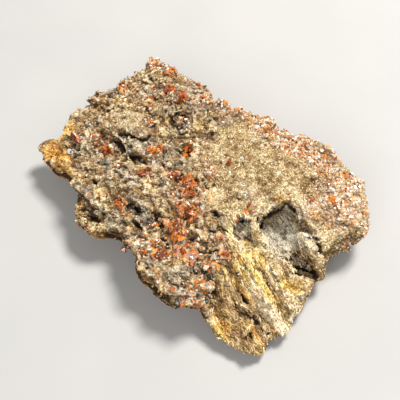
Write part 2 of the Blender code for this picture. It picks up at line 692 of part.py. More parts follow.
def bring_centre_to_origin(parts):
    """Moves everything so that the bounding box's bottom centre is the origin."""
    bpy.context.view_layer.update()
    points = [obj.matrix_world @ vert.co for obj in parts.objects for vert in obj.data.vertices]
    low = [min(p[axis] for p in points) for axis in range(3)]
    high = [max(p[axis] for p in points) for axis in range(3)]
    shift = Vector(((low[0] + high[0]) / 2, (low[1] + high[1]) / 2, low[2]))
    for obj in bpy.data.objects:
        obj.location -= shift
    bpy.context.view_layer.update()


def main():
    clear_scene()
    parts = new_collection("wulfenite_on_matrix")
    cutters = new_collection("cutters")
    rock = make_rock(parts, cutters, make_material("matrix", (0.42, 0.29, 0.15), 0.9))
    grown_rock = swollen(rock, GAP_MM, cutters)
    ground = Ground(rock)
    wulfenite = make_material("wulfenite", (0.62, 0.13, 0.02), 0.2)
    quartz = make_material("quartz", (0.85, 0.84, 0.8), 0.1)
    grey_druse = make_material("grey_druse", (0.33, 0.3, 0.24), 0.5)
    for row in CLUSTERS_MM:
        make_cluster(row, ground, grown_rock, rock, wulfenite, parts)
    for row in PLATES_MM:
        clear = row[0].startswith("quartz")
        make_plate(row, ground, grown_rock, rock, quartz if clear else wulfenite, parts)
    for row in CRUSTS_MM:
        make_crust(row, ground, grown_rock, rock, wulfenite, parts)
    make_hollow_druse(grown_rock, rock, grey_druse, parts)
    bring_centre_to_origin(parts)


main()
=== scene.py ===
"""Looks for wulfenite on matrix: a loose slab of sugary tan rock with orange-red crystals."""

import itertools
import math

import bpy
import numpy as np
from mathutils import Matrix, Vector
from mathutils.bvhtree import BVHTree


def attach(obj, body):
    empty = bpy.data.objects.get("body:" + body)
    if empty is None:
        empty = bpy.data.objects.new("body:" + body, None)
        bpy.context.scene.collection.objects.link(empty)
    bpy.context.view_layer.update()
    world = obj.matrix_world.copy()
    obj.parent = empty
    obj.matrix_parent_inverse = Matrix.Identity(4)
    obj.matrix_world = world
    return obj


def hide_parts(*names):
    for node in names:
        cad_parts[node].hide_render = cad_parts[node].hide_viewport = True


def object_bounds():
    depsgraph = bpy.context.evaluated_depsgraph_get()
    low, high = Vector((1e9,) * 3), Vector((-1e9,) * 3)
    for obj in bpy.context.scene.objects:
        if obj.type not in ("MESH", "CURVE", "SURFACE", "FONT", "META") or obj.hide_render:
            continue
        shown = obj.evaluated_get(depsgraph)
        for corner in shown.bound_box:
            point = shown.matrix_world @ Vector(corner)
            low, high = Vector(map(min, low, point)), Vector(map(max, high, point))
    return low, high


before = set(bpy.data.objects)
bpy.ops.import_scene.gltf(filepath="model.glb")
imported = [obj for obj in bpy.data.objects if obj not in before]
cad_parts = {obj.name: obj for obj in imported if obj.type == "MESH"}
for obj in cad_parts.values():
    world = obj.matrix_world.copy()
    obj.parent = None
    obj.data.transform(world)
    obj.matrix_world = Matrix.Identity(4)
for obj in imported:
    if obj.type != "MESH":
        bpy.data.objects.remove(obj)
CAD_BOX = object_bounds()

MM = 0.001
SEED = 41

# The rock's skin: spacing of its mesh, and of the coarse copy that loses the solid's facets
SKIN_VOXEL_MM = 0.27
SMOOTHING_VOXEL_MM = 0.45
SMOOTHING_ROUNDS = 4
UNDERSIDE_SHARE = 0.3  # of the underside's triangles are kept
UNDERSIDE_TOP_MM = 9.0  # nothing above this counts as the underside
SEAM_X_MM = (-8.0, 20.0)  # the skin is cut into pieces at these places along X
GRAIN_SEAM_X_MM = (0.0,)  # and the grains on it here

# The camera stands where the photograph was taken from
CAMERA_AZIMUTH = math.radians(38)
CAMERA_ELEVATION = math.radians(58)
CAMERA_DISTANCE_MM = 235.0
CAMERA_TARGET_MM = (3.16, -1.0, 10.0)
CAMERA_LENS = 70.0
CAMERA_SENSOR = 36.0

# Floor and light. Each light's place in millimetres, size, watts and colour
FLOOR_HALF_MM = 1500.0
LIGHTS = {
    "key": ((50, 280, 570), 160, 5.8, (1.0, 0.97, 0.93)),
    "fill": ((200, -460, 420), 500, 2.2, (0.98, 0.98, 1.0)),
}
LIGHT_TARGET_MM = (0, 0, 8)
SURROUND_COLOUR = (1.0, 0.98, 0.95, 1.0)
SURROUND_STRENGTH = 0.34

# Small bodies
CRYSTAL_SLOTS = ("wulfenite", "quartz")  # the others take the rock's stains, and its painted light in the hollows
PALE_PATCHES = 0.26  # how far the share of pale crystals changes from place to place
AMBER_SHARE = 0.35  # of the tiny crystals are amber
FAR_RIM_MM = 20.0  # past this place along Y the tiny crystals are redder

# Places on the rock, read from the photograph, in millimetres

# Cracks, cut in and painted black inside as shade: path, half width, depth
CRACKS_MM = [
    ([(-35.4, -3.7, 15.3), (-33.7, -3.0, 14.4), (-31.1, -3.1, 14.6)], 0.26, 0.8),
    ([(-31.4, -3.3, 14.9), (-29.4, -3.6, 15.9), (-28.1, -3.2, 15.4)], 0.42, 1.4),
    ([(-28.3, -3.0, 15.7), (-26.2, -2.8, 16.3), (-22.9, -3.5, 18.5), (-21.0, -3.2, 18.6)], 0.26, 0.8),
    ([(-28.4, -1.1, 17.8), (-26.5, -0.4, 17.6), (-24.1, -0.0, 18.5)], 0.42, 1.0),
    ([(-24.1, -0.0, 18.5), (-22.1, -0.2, 19.0), (-20.1, 0.2, 19.6), (-19.2, 1.5, 19.7),
      (-19.0, 3.1, 19.9)], 0.4, 0.9),
    ([(-30.4, -1.7, 16.0), (-28.4, -1.4, 17.6)], 0.3, 0.5),
    ([(-25.3, -3.9, 15.9), (-22.5, -4.6, 16.8)], 0.3, 1.0),
    ([(-26.7, -8.4, 15.2), (-26.8, -7.0, 15.8)], 0.35, 0.8),
    ([(-20.5, -6.9, 17.4), (-20.7, -4.0, 16.4)], 0.34, 1.1),
    ([(-30.6, 10.4, 17.5), (-28.9, 11.4, 17.3), (-26.4, 11.8, 17.7)], 0.28, 0.7),
    ([(-37.4, 5.6, 16.4), (-35.9, 5.6, 17.8), (-35.6, 7.0, 17.4)], 0.26, 0.6),
    ([(-40.2, -9.2, 14.6), (-38.8, -8.1, 13.8)], 0.22, 0.5),
    ([(-37.7, 24.1, 15.2), (-35.7, 22.9, 16.3), (-34.6, 22.5, 15.9)], 0.36, 0.8),
    ([(-20.2, 14.7, 17.0), (-19.9, 16.2, 16.6), (-18.2, 16.7, 17.0), (-16.6, 16.7, 17.1)], 0.45, 1.2),
    ([(-20.8, 14.2, 16.8), (-20.2, 14.3, 15.7), (-18.9, 14.0, 15.3)], 0.24, 0.6),
    ([(-9.8, 5.6, 16.8), (-7.1, 4.8, 17.8)], 0.4, 0.8),
    ([(-10.8, -15.9, 13.4), (-9.8, -16.1, 13.0), (-8.2, -17.2, 13.9)], 0.6, 1.4),
    ([(-7.1, -18.7, 15.0), (-6.6, -17.5, 14.8), (-4.9, -16.0, 15.3)], 0.6, 1.4),
    ([(-5.8, -21.1, 15.0), (-4.4, -21.0, 14.1), (-2.3, -21.6, 14.3)], 0.5, 1.2),
    ([(-2.0, -15.7, 14.6), (-1.1, -15.9, 13.6), (2.5, -18.7, 17.7)], 0.6, 1.4),
    ([(-20.8, -5.6, 17.4), (-20.5, -4.8, 14.9)], 0.28, 0.6),
    ([(-15.9, -6.4, 18.4), (-14.5, -5.6, 17.1), (-11.4, -6.2, 18.8)], 0.36, 0.9),
    ([(-26.3, -19.0, 16.0), (-25.2, -19.0, 15.5)], 0.36, 0.6),
    ([(-24.3, -18.3, 15.5), (-22.5, -18.7, 16.0)], 0.3, 0.5),
    ([(2.7, 1.0, 19.8), (3.8, 0.6, 18.1), (5.6, -0.6, 18.0)], 0.36, 0.9),
    ([(11.3, -6.3, 18.5), (12.2, -5.6, 17.6), (13.9, -6.0, 18.4)], 0.3, 0.8),
    ([(16.9, -8.7, 17.8), (18.4, -8.1, 17.7)], 0.3, 0.7),
    ([(6.4, -21.3, 16.9), (8.3, -22.0, 17.2)], 0.26, 0.6),
    ([(18.4, -16.1, 16.7), (19.1, -14.5, 16.2)], 0.3, 0.7),
    ([(4.1, -28.2, 16.1), (5.3, -27.0, 15.5), (7.6, -27.1, 16.2)], 0.2, 0.4),
    ([(11.8, -26.9, 16.0), (12.5, -25.5, 16.5)], 0.2, 0.4),
    ([(24.3, -23.0, 8.8), (26.5, -22.3, 8.7)], 0.26, 0.6),
    ([(26.8, -20.3, 12.6), (27.4, -18.8, 12.5)], 0.26, 0.6),
    ([(-19.2, -26.5, 10.6), (-17.1, -25.2, 11.0), (-13.9, -24.8, 13.3)], 0.26, 0.6),
    ([(32.2, -19.1, 10.5), (34.3, -19.8, 9.8)], 0.36, 0.8),
    ([(30.8, -21.2, 10.6), (33.6, -22.1, 7.2), (35.7, -23.6, 6.5), (38.3, -24.4, 5.5),
      (41.1, -26.2, 6.1)], 0.28, 0.7),
    ([(34.9, -21.1, 7.3), (37.6, -20.9, 7.1), (39.6, -21.5, 6.6), (41.9, -22.5, 6.2),
      (43.7, -21.5, 4.6)], 0.36, 0.8),
    ([(35.8, -14.3, 12.9), (38.9, -15.6, 11.7), (40.2, -15.8, 10.3)], 0.22, 0.5),
    ([(33.5, -1.7, 9.6), (35.5, -1.6, 9.5), (36.1, 0.5, 7.8)], 0.5, 1.1),
    ([(36.8, 1.6, 10.1), (38.7, 1.7, 10.7), (40.4, 2.2, 8.8)], 0.6, 1.1),
    ([(42.1, 1.5, 8.5), (44.7, 0.0, 7.6)], 0.6, 1.0),
    ([(37.2, -2.8, 8.2), (38.4, -1.1, 8.3), (40.6, 0.4, 7.4), (42.2, 1.4, 7.9)], 0.5, 1.1),
    ([(38.3, -4.0, 8.9), (40.0, -2.4, 8.5), (42.0, -2.0, 8.8)], 0.46, 1.0),
    ([(27.3, -16.0, 14.1), (28.8, -16.1, 13.7), (30.4, -16.4, 13.1)], 0.26, 0.6),
]

# Pits, cut in and painted black inside as shade: place, radius, depth
PITS_MM = [
    ((-14.4, 10.9), 0.6, 0.9), ((-12.5, 9.7), 0.5, 0.8), ((-22.3, 13.9), 0.4, 0.6),
    ((-29.6, 6.3), 0.3, 0.4), ((-38.9, -8.5), 0.4, 0.6), ((-31.8, 1.5), 0.3, 0.4),
    ((12.6, -5.8), 0.8, 0.8), ((18.0, -8.5), 0.6, 0.7), ((15.2, -11.3), 0.5, 0.7),
    ((23.3, -12.4), 0.5, 0.7), ((36.7, -21.4), 0.9, 0.8), ((39.4, -26.7), 1.0, 0.7),
    ((24.9, -22.6), 0.6, 0.7), ((5.4, -21.3), 0.7, 0.8), ((8.8, -24.3), 0.7, 0.8),
    ((-21.2, -25.5), 0.9, 0.7), ((-15.1, -23.8), 0.9, 0.7), ((-2.0, -3.4), 0.8, 0.7),
    ((1.4, -1.0), 0.8, 0.8), ((31.4, -4.4), 0.5, 0.6), ((-33.6, 6.2), 0.5, 0.5),
]

# Sharp ribs down the slope: places, half width, height
RIBS_MM = [
    ([(23.8, -16.4), (29.0, -19.4), (34.0, -22.2), (38.7, -25.7), (42.2, -28.5)], 0.9, 0.8),
    ([(25.3, -14.3), (30.8, -16.3), (35.7, -19.2), (39.3, -20.8), (43.8, -24.1)], 0.8, 1.0),
    ([(27.1, -10.7), (32.6, -13.4), (37.9, -15.8), (42.4, -16.5), (46.3, -18.0)], 0.8, 1.0),
    ([(31.2, -8.5), (36.8, -11.1), (42.6, -13.2), (46.0, -14.6)], 0.7, 0.8),
    ([(26.6, -20.6), (31.0, -24.6), (35.6, -28.4)], 0.7, 0.6),
    ([(28.0, -6.6), (33.0, -5.6), (38.0, -7.4)], 0.6, 0.6),
    ([(34.1, 6.0), (36.9, 4.7), (38.8, 3.8), (41.0, 3.0), (43.7, 2.2)], 0.8, 1.3),
]

# Stained lines: path, half width
STAIN_LINES_MM = {
    "yellow": [
        ([(29.2, -12.3, 15.8), (33.9, -13.2, 13.8), (37.6, -13.8, 11.7), (41.6, -14.5, 7.6)], 0.5),
        ([(39.4, -9.5, 11.3), (40.9, -7.9, 9.8), (42.9, -6.7, 8.8)], 0.8),
        ([(27.5, -8.8, 15.1), (29.1, -7.8, 14.6)], 0.5),
    ],
    "ochre": [
        ([(27.7, -16.5, 11.9), (31.8, -18.1, 11.1), (34.9, -19.1, 10.5)], 0.5),
        ([(37.6, -22.9, 6.1), (40.8, -24.2, 6.3), (43.5, -25.2, 6.1)], 0.5),
        ([(31.3, -27.0, 5.8), (33.9, -27.7, 6.0)], 0.8),
    ],
    # Brown lines: along cracks on the slope and in the right hollow they are partly painted shade
    "brown": [
        ([(34.9, -21.1, 7.3), (37.6, -20.9, 7.1), (39.6, -21.5, 6.6), (41.9, -22.5, 6.2)], 0.6),
        ([(30.5, -11.5, 15.4), (32.9, -10.7, 12.2), (35.5, -11.5, 11.6)], 0.5),
        ([(37.5, -11.8, 11.8), (40.7, -13.1, 9.9), (42.3, -14.2, 8.0)], 0.35),
        ([(35.5, 1.8, 9.3), (37.8, 1.5, 10.5), (40.4, 2.2, 8.8), (42.1, 1.5, 8.5),
          (44.3, 0.2, 7.6)], 0.9),
        ([(35.9, -27.0, 6.2), (38.5, -26.8, 5.9), (40.6, -26.9, 6.4)], 1.0),
        ([(34.1, -22.3, 6.9), (37.6, -23.7, 5.4), (40.2, -25.5, 6.1)], 0.5),
        ([(-24.0, 8.7, 19.8), (-21.8, 7.6, 19.7), (-19.9, 6.0, 19.9), (-19.0, 4.6, 19.5)], 0.6),
        ([(-37.8, 4.3, 16.5), (-37.0, 1.7, 16.1), (-36.0, 0.4, 16.3)], 0.3),
    ],
    "cream": [
        ([(33.3, -16.0, 11.0), (38.4, -18.0, 9.2), (41.0, -18.5, 6.9)], 1.1),
        ([(41.4, -16.9, 8.7), (43.7, -17.4, 6.0)], 1.1),
        ([(31.4, 8.1, 11.5), (35.4, 5.1, 15.8), (38.5, 3.3, 17.0), (41.3, 2.7, 16.3),
          (42.8, 4.3, 12.7)], 0.7),
        ([(-39.6, -2.9, 14.6), (-37.3, -2.3, 13.9), (-34.9, -1.7, 13.6), (-32.8, -1.8, 13.4)], 0.3),
        ([(45.1, -7.0, 8.7), (45.8, -9.9, 5.8), (45.9, -14.5, 5.3), (45.6, -18.0, 5.6)], 0.7),
        ([(-28.0, -2.5, 16.5), (-24.1, -3.4, 19.5), (-21.6, -2.7, 19.0)], 0.3),
    ],
    "grey": [
        ([(37.8, -9.9, 11.9), (40.8, -11.7, 10.1)], 0.3),
        ([(-25.8, -11.1, 15.9), (-22.0, -13.2, 18.5)], 0.9),
        ([(-4.9, -19.0, 15.5), (-1.6, -18.4, 15.3)], 0.9),
        ([(27.9, 7.3, 10.5), (32.3, 4.4, 11.0)], 1.2),
        ([(-21.0, -5.8, 17.3), (-20.8, -4.1, 17.7)], 0.6),
    ],
}

# Lumps of rock that partly fill the hollows: place, radii
LUMPS_MM = [
    ((20.6, -3.2, 11.8), (3.6, 3.2, 3.0)),
]

# The upper face ends in thin lips over the hollows: places along the edge, the rock on their left
LIPS_MM = [
    [(19.4, -6.2), (18.5, -4.8), (18.0, -3.0), (19.2, -2.0), (21.1, -1.6), (22.3, -1.4)],
    [(24.5, -1.6), (23.4, 0.0), (24.2, 1.8), (23.9, 3.4), (24.8, 5.2), (25.8, 6.9), (26.0, 8.4),
     (26.2, 9.7), (27.8, 10.1), (29.9, 9.5), (31.4, 8.7), (33.8, 7.6)],
    [(36.9, 4.8), (37.5, 6.4), (39.8, 6.2), (42.0, 5.6)],
]
LIP_THICK_MM = 1.2
UNDERCUT_MM = 3.0
LIP_ROOT_MM = 3.4  # the lip's slab reaches this far back into the rock

# The hollows as seen from above, below the lips: the big one, then the small one beside it
HOLLOWS_MM = [
    LIPS_MM[1][:-1] + [(35.0, 7.4), (37.4, 6.3), (40.4, 3.4), (43.4, 0.6), (38.6, -3.2), (34.0, -3.6),
                       (29.6, -2.8)],
    LIPS_MM[0] + [(23.0, -4.0), (22.0, -7.0)],
]
HOLLOW_TOP_MM = 17.9  # the rock below this level inside them is bare and grey, and painted paler against their shade
HOLLOW_FLOORS_MM = (11.3, 13.8)

# Painted shadows, black, on the hollows' walls under the lips and ledges: path, half width
LIP_SHADOWS_MM = [
    ([(23.5, 3.7, 14.2), (22.6, 3.9, 11.0), (22.8, 2.9, 10.5), (23.3, 2.0, 10.5)], 0.75),
    ([(23.1, 5.0, 12.3), (23.7, 6.2, 13.1), (24.3, 7.7, 13.5), (25.1, 9.8, 12.9)], 0.5),
    ([(25.1, 10.1, 13.7), (26.4, 9.2, 17.6), (27.1, 9.7, 17.9)], 0.6),
    ([(26.8, 9.8, 17.2), (27.2, 11.1, 15.1), (29.1, 10.9, 15.3), (30.8, 8.9, 18.2)], 0.7),
    ([(32.8, 8.3, 17.4), (34.0, 9.5, 13.4)], 0.25),
    ([(37.5, 3.4, 17.1), (38.2, 5.8, 15.7), (39.9, 6.3, 16.1), (41.1, 6.8, 15.6)], 0.5),
    ([(40.7, 5.6, 14.0), (42.3, 5.7, 14.5)], 0.45),
    ([(35.0, 1.2, 9.3), (36.0, 2.0, 8.3), (37.7, 1.4, 9.9)], 0.5),
    ([(33.5, -1.7, 9.6), (35.0, -1.5, 9.9)], 0.4),
    ([(18.6, -3.6, 18.1), (18.8, -1.1, 14.6), (21.7, -1.7, 17.3)], 0.5),
    ([(21.9, -1.3, 18.6), (22.9, -0.1, 18.3), (23.0, 2.0, 14.2)], 0.35),
    ([(19.3, -6.2, 18.5), (18.6, -4.3, 14.0)], 0.4),
]

# Stained zones: x, y, radii along and across, turn in degrees, strength
WANDER_MM = 1.4  # how far a zone's edge wanders
ZONES_MM = {
    "ochre": [
        (-41.5, -16.6, 7.5, 3.4, -8, 1.0), (-45.3, -12.5, 2.2, 6.0, -10, 0.9),
        (-33.5, -19.3, 6.0, 2.0, -4, 0.9), (-35.2, -15.6, 1.8, 1.2, 0, 0.8),
        (-44.4, -7.0, 1.8, 4.0, -6, 0.8), (-43.6, 4.0, 1.6, 6.0, -12, 0.45),
        (-27.5, -24.5, 7.0, 2.6, -14, 0.55), (-7.8, -30.4, 8.0, 2.4, -8, 0.5),
        (9.0, -32.6, 8.0, 2.2, -8, 0.5), (25.5, 7.9, 2.6, 1.1, 40, 0.75), (41.6, -4.4, 2.4, 1.0, 0, 0.6),
        (27.6, -16.4, 3.0, 1.0, -24, 0.8), (32.0, -27.8, 6.0, 2.0, -20, 0.7),
        (-9.4, -20.6, 3.0, 1.4, -30, 0.5), (-20.6, -21.0, 3.0, 1.5, -20, 0.5),
        (-40.0, 16.6, 2.4, 1.4, 50, 0.5),
    ],
    "yellow": [
        (41.2, -7.6, 3.4, 1.7, 4, 1.0), (29.6, -8.6, 2.6, 2.0, -30, 0.5), (8.6, -2.4, 2.0, 2.6, 20, 0.4),
        (33.0, -26.6, 5.0, 2.0, -20, 0.5), (26.6, -12.0, 1.6, 3.4, 10, 0.6),
    ],
    "brown": [
        (20.5, 13.3, 3.2, 1.5, -20, 0.6), (11.2, 2.3, 1.5, 2.2, 20, 0.55), (3.0, 17.9, 2.2, 1.7, 0, 0.55),
        (20.8, 20.4, 2.8, 1.6, -20, 0.4), (-24.6, 8.8, 1.6, 4.2, 30, 0.9),
        (-30.6, 4.8, 2.0, 1.2, 0, 0.25), (-6.4, 3.6, 2.4, 3.8, -14, 0.35),
        (5.0, 12.6, 3.0, 1.2, -30, 0.35), (2.0, -1.0, 2.2, 2.0, 0, 0.8), (1.4, -11.6, 2.6, 1.2, -20, 0.6),
        (29.6, -22.6, 5.6, 3.2, -24, 0.8), (36.0, -27.4, 6.0, 2.6, -20, 0.7),
        (36.6, -20.6, 5.0, 1.1, -26, 0.8), (38.6, -12.6, 5.0, 0.9, -14, 0.6),
        (39.2, -26.4, 4.2, 1.6, -24, 0.7), (35.8, -4.6, 2.6, 1.2, -14, 0.5),
        (39.6, 0.2, 5.0, 2.2, -22, 1.0), (-31.4, -24.0, 2.6, 1.2, -30, 0.5),
        (-12.4, -9.4, 3.6, 1.4, -14, 0.4), (-35.2, 2.6, 2.0, 1.2, 40, 0.4),
        (28.6, 9.0, 2.4, 1.6, 30, 0.6), (11.0, -15.6, 2.0, 1.2, 20, 0.6),
    ],
    "cream": [
        (-28.8, 4.8, 6.4, 3.8, 8, 0.4), (8.4, -1.6, 3.0, 3.2, 20, 0.9), (16.0, 6.6, 5.0, 2.4, -20, 0.4),
        (-33.6, -10.6, 3.0, 2.0, 0, 0.4), (41.4, -18.0, 5.0, 2.6, -20, 1.0),
        (34.6, -16.2, 4.6, 1.2, -24, 0.9), (27.0, -8.0, 2.6, 2.4, -20, 0.8),
        (10.6, -27.6, 4.2, 2.4, -14, 0.8), (-14.6, -12.0, 3.0, 1.8, -20, 0.6),
        (6.6, 22.6, 3.6, 1.8, -10, 0.4), (17.0, 16.4, 4.0, 1.6, -20, 0.4),
        (-13.6, 19.6, 3.0, 1.6, -14, 0.3), (36.0, -12.6, 3.0, 1.0, -14, 0.7),
    ],
    "grey": [
        (-24.5, -11.3, 2.6, 1.5, 20, 1.0), (-19.0, -1.6, 2.4, 1.0, -10, 0.6),
        (-7.6, -16.4, 3.6, 2.0, -10, 0.8), (-3.4, -18.6, 3.6, 1.7, -24, 0.9),
        (-22.6, -21.6, 2.4, 2.4, 0, 0.8), (-31.0, -9.8, 3.2, 1.6, 0, 0.5),
        (-14.6, 12.4, 3.4, 1.8, -50, 0.7), (5.6, -21.6, 1.6, 1.4, 0, 0.6),
        (14.6, -30.0, 3.4, 1.8, 0, 0.7), (-21.0, -13.2, 3.0, 1.4, -20, 0.4),
        (-2.2, -24.4, 2.0, 1.4, 0, 0.5), (-4.6, 20.6, 2.6, 1.4, 0, 0.5), (15.4, -6.4, 3.2, 1.2, -20, 0.6),
        (30.6, 3.6, 6.6, 5.2, -25, 1.0), (21.0, -5.0, 3.0, 2.4, -30, 0.7),
        (39.5, 5.0, 2.8, 1.6, -12, 0.9), (36.5, 1.6, 4.0, 2.0, -20, 0.8), (-36.5, 23.6, 2.0, 1.2, 0, 0.6),
    ],
    "rose": [
        (38.0, 19.6, 9.4, 7.6, -34, 0.9), (24.0, 27.6, 11.0, 4.4, -6, 0.85),
        (6.0, 27.4, 11.0, 3.8, -6, 0.8), (-8.0, 26.4, 5.0, 3.0, 0, 0.7), (33.0, 12.0, 4.0, 3.0, -40, 0.7),
        (-38.0, 29.6, 5.0, 2.4, 0, 0.7), (-17.0, 23.6, 5.0, 4.4, 0, 0.6),
        (-33.4, -7.4, 5.0, 2.6, 0, 0.45), (3.4, -7.0, 6.6, 5.0, -50, 0.65),
        (8.6, -18.6, 8.0, 3.6, -14, 0.55), (19.0, -12.4, 5.0, 2.8, -20, 0.6),
        (22.4, -26.4, 3.6, 5.4, 0, 0.5), (-15.4, 14.0, 4.4, 2.2, -40, 0.5),
        (-37.6, -1.8, 3.0, 2.4, 0, 0.5), (2.4, 4.6, 3.0, 3.0, 0, 0.45), (-25.4, 7.6, 1.8, 3.6, 26, 0.5),
    ],
}
ZONE_SEEDS = {"ochre": 60, "yellow": 62, "brown": 64, "cream": 68, "grey": 72, "rose": 76}

# Smooth parts of the rough ground, as zones
SMOOTH_MM = [(-28.8, 4.8, 7.4, 4.6, 8, 0.85)]

# Where tiny crystals stand, as zones, with how many on each square millimetre instead of the strength
CRYSTAL_SUGAR_MM = [
    (38.0, 20.0, 10.5, 8.4, -34, 0.95), (24.0, 28.4, 12.0, 4.6, -6, 1.0), (6.0, 28.0, 12.0, 4.2, -6, 1.2),
    (-8.0, 26.6, 5.0, 3.2, 0, 1.0), (33.4, 12.4, 4.4, 3.4, -40, 0.8), (-38.4, 29.4, 6.0, 2.6, 0, 1.1),
    (-17.6, 22.6, 6.0, 4.6, 0, 0.55), (-27.0, 19.0, 4.6, 4.6, 0, 0.25), (3.6, -7.0, 6.0, 6.4, -40, 0.9),
    (8.6, -18.8, 9.0, 4.4, -14, 0.8), (19.0, -12.4, 5.4, 3.0, -20, 0.9), (22.0, -27.0, 4.4, 5.4, 0, 0.8),
    (1.6, 4.6, 2.6, 3.0, 0, 0.8), (-33.4, -7.4, 4.6, 2.6, 0, 0.5), (-25.4, 8.0, 2.2, 4.0, 26, 0.8),
    (-15.4, 14.0, 4.0, 2.4, -40, 0.4), (3.4, -25.6, 5.0, 3.0, 0, 0.6), (-5.4, -27.6, 4.0, 2.0, 0, 0.5),
    (-10.0, -19.6, 3.0, 2.0, 0, 0.5), (-40.6, 14.4, 3.0, 2.6, 50, 0.6), (13.6, -31.6, 6.0, 2.2, 0, 0.5),
    (-10.6, -7.4, 3.6, 2.0, 0, 0.4), (22.0, -16.0, 4.0, 3.0, 0, 0.5), (44.0, 12.0, 4.0, 3.0, 0, 0.4),
    (-28.0, 28.6, 12.0, 1.5, 0, 1.3), (-16.0, 27.8, 6.0, 2.0, -6, 1.1),
]

# Single white glints and small orange crystals, by place
GLINTS_MM = [
    (-32.7, -15.8), (-17.0, -3.6), (-35.9, 29.5), (-32.9, 15.3), (-39.3, -2.8), (-31.4, 17.8),
    (-20.8, 6.2), (-9.1, -12.4), (18.1, 2.7), (20.0, 0.8), (19.6, 24.2), (30.7, 18.5), (32.9, 9.3),
    (41.3, 23.2), (-4.8, 21.2), (26.9, 27.1), (37.2, 8.1), (31.0, 4.8), (28.6, 4.6), (17.3, -29.1),
    (21.6, -28.7), (23.7, -28.7), (18.6, -23.9), (42.4, -18.4), (10.4, -22.6), (3.5, -25.2), (6.7, -7.0),
    (7.1, -13.1), (20.7, -16.5), (26.3, -8.0), (11.9, -13.7), (19.5, -32.1), (-41.6, 8.8), (-40.4, 12.6),
]
SINGLES_MM = [
    (32.9, 22.2), (32.2, 14.8), (5.3, 9.6), (3.9, 2.4), (19.6, -0.7), (10.4, 21.6), (34.4, 28.7),
    (44.4, 24.8), (36.6, 18.5), (24.0, -29.0), (23.8, -26.1), (23.8, -23.4), (6.6, -11.8), (13.6, -14.8),
    (18.5, -11.1), (25.3, -11.6), (18.8, -4.2), (17.4, -31.5), (3.5, -28.0), (4.1, -24.0), (-11.1, -20.1),
    (7.3, -19.2), (12.3, -18.6), (-13.9, 1.4), (-12.2, -3.6), (-26.6, 21.0), (-21.2, 19.4), (-19.8, 17.4),
    (-7.4, 5.4), (-20.4, -10.6),
]


def linear(red, green, blue):
    """A screen colour, 0 to 255, as the linear colour that shaders take."""
    shares = (red / 255, green / 255, blue / 255)
    return (*(c / 12.92 if c <= 0.04045 else ((c + 0.055) / 1.055) ** 2.4 for c in shares), 1.0)


# Random fields over points in millimetres

def hashed(cells, seed):
    """A number from 0 to 1 for each whole-number cell."""
    x = cells[..., 0] * 73856093 ^ cells[..., 1] * 19349663 ^ cells[..., 2] * 83492791
    x = (x ^ (seed * 40503 + 977)) & 0xFFFFFFFF
    x = ((x ^ (x >> 15)) * 73244475) & 0xFFFFFFFF
    x = ((x ^ (x >> 13)) * 73244475) & 0xFFFFFFFF
    return (x ^ (x >> 16)) / 0xFFFFFFFF


def turned(points, seed):
    """The points turned at random about the origin, so that no field shows the axes."""
    rng = np.random.default_rng(seed)
    basis, _ = np.linalg.qr(rng.normal(size=(3, 3)))
    return points @ basis


def hills(points, size, seed):
    """Soft random hills from -1 to 1, about size apart."""
    q = turned(points, seed) / size
    cell = np.floor(q).astype(np.int64)
    t = q - cell
    t = t * t * (3 - 2 * t)
    total = np.zeros(len(points))
    for corner in itertools.product((0, 1), repeat=3):
        weight = np.prod(np.where(np.array(corner) == 1, t, 1 - t), axis=1)
        total += weight * hashed(cell + np.array(corner), seed)
    return 2 * total - 1


def rough_hills(points, size, rounds, seed):
    """Hills with smaller hills on them, each round half the size of the last."""
    total, share = np.zeros(len(points)), 1.0
    for number in range(rounds):
        total += share * hills(points, size / 2 ** number, seed + number)
        share *= 0.5
    return total


def grain_field(points, size, seed):
    """Distance to the nearest and the next of scattered centres, in sizes, and the nearest's own number."""
    q = turned(points, seed) / size
    cell = np.floor(q).astype(np.int64)
    near = np.full(len(points), 9.0)
    second = near.copy()
    number = np.zeros(len(points))
    for step in itertools.product((-1, 0, 1), repeat=3):
        there = cell + np.array(step)
        centre = there + np.stack([hashed(there, seed + k) for k in (1, 2, 3)], axis=1)
        distance = np.linalg.norm(centre - q, axis=1)
        closer = distance < near
        second = np.where(closer, near, np.minimum(second, distance))
        number = np.where(closer, hashed(there, seed + 4), number)
        near = np.where(closer, distance, near)
    return near, second, number


def ease(low, high, value):
    """0 before low, 1 past high, and a soft change between. low may be the larger."""
    t = np.clip((value - low) / (high - low), 0, 1)
    return t * t * (3 - 2 * t)


def spots(points, rows, seed):
    """How strongly each point lies in any of the rows of ellipses, 0 to 1, with ragged edges."""
    ragged = points[:, :2] + WANDER_MM * np.stack(
        [rough_hills(points, 3.4, 3, seed), rough_hills(points, 3.4, 3, seed + 20)], axis=1
    )
    total = np.zeros(len(points))
    for x, y, long, wide, turn, strength in rows:
        c, s = math.cos(math.radians(turn)), math.sin(math.radians(turn))
        dx, dy = ragged[:, 0] - x, ragged[:, 1] - y
        away = np.hypot((dx * c + dy * s) / long, (dy * c - dx * s) / wide)
        total = np.maximum(total, strength * (1 - ease(0.55, 1.25, away)))
    return total


def path_distance(points, path):
    """Distance from each point to a path of (x, y, z) places, with heights counting half."""
    scale = np.array([1.0, 1.0, 0.5])
    corners = np.array(path)
    near = np.all((points > corners.min(axis=0) - 4) & (points < corners.max(axis=0) + 4), axis=1)
    here, corners = points[near] * scale, corners * scale
    found = np.full(len(here), 1e9)
    for a, b in zip(corners, corners[1:]):
        t = np.clip((here - a) @ (b - a) / ((b - a) @ (b - a)), 0, 1)
        found = np.minimum(found, np.linalg.norm(here - a - t[:, None] * (b - a), axis=1))
    best = np.full(len(points), 1e9)
    best[near] = found
    return best


def line_distance(points, line):
    """Distance from each point to a line of (x, y) places, seen from above."""
    best = np.full(len(points), 1e9)
    for (ax, ay), (bx, by) in zip(line, line[1:]):
        px, py = points[:, 0] - ax, points[:, 1] - ay
        dx, dy = bx - ax, by - ay
        t = np.clip((px * dx + py * dy) / (dx * dx + dy * dy), 0, 1)
        best = np.minimum(best, np.hypot(px - t * dx, py - t * dy))
    return best


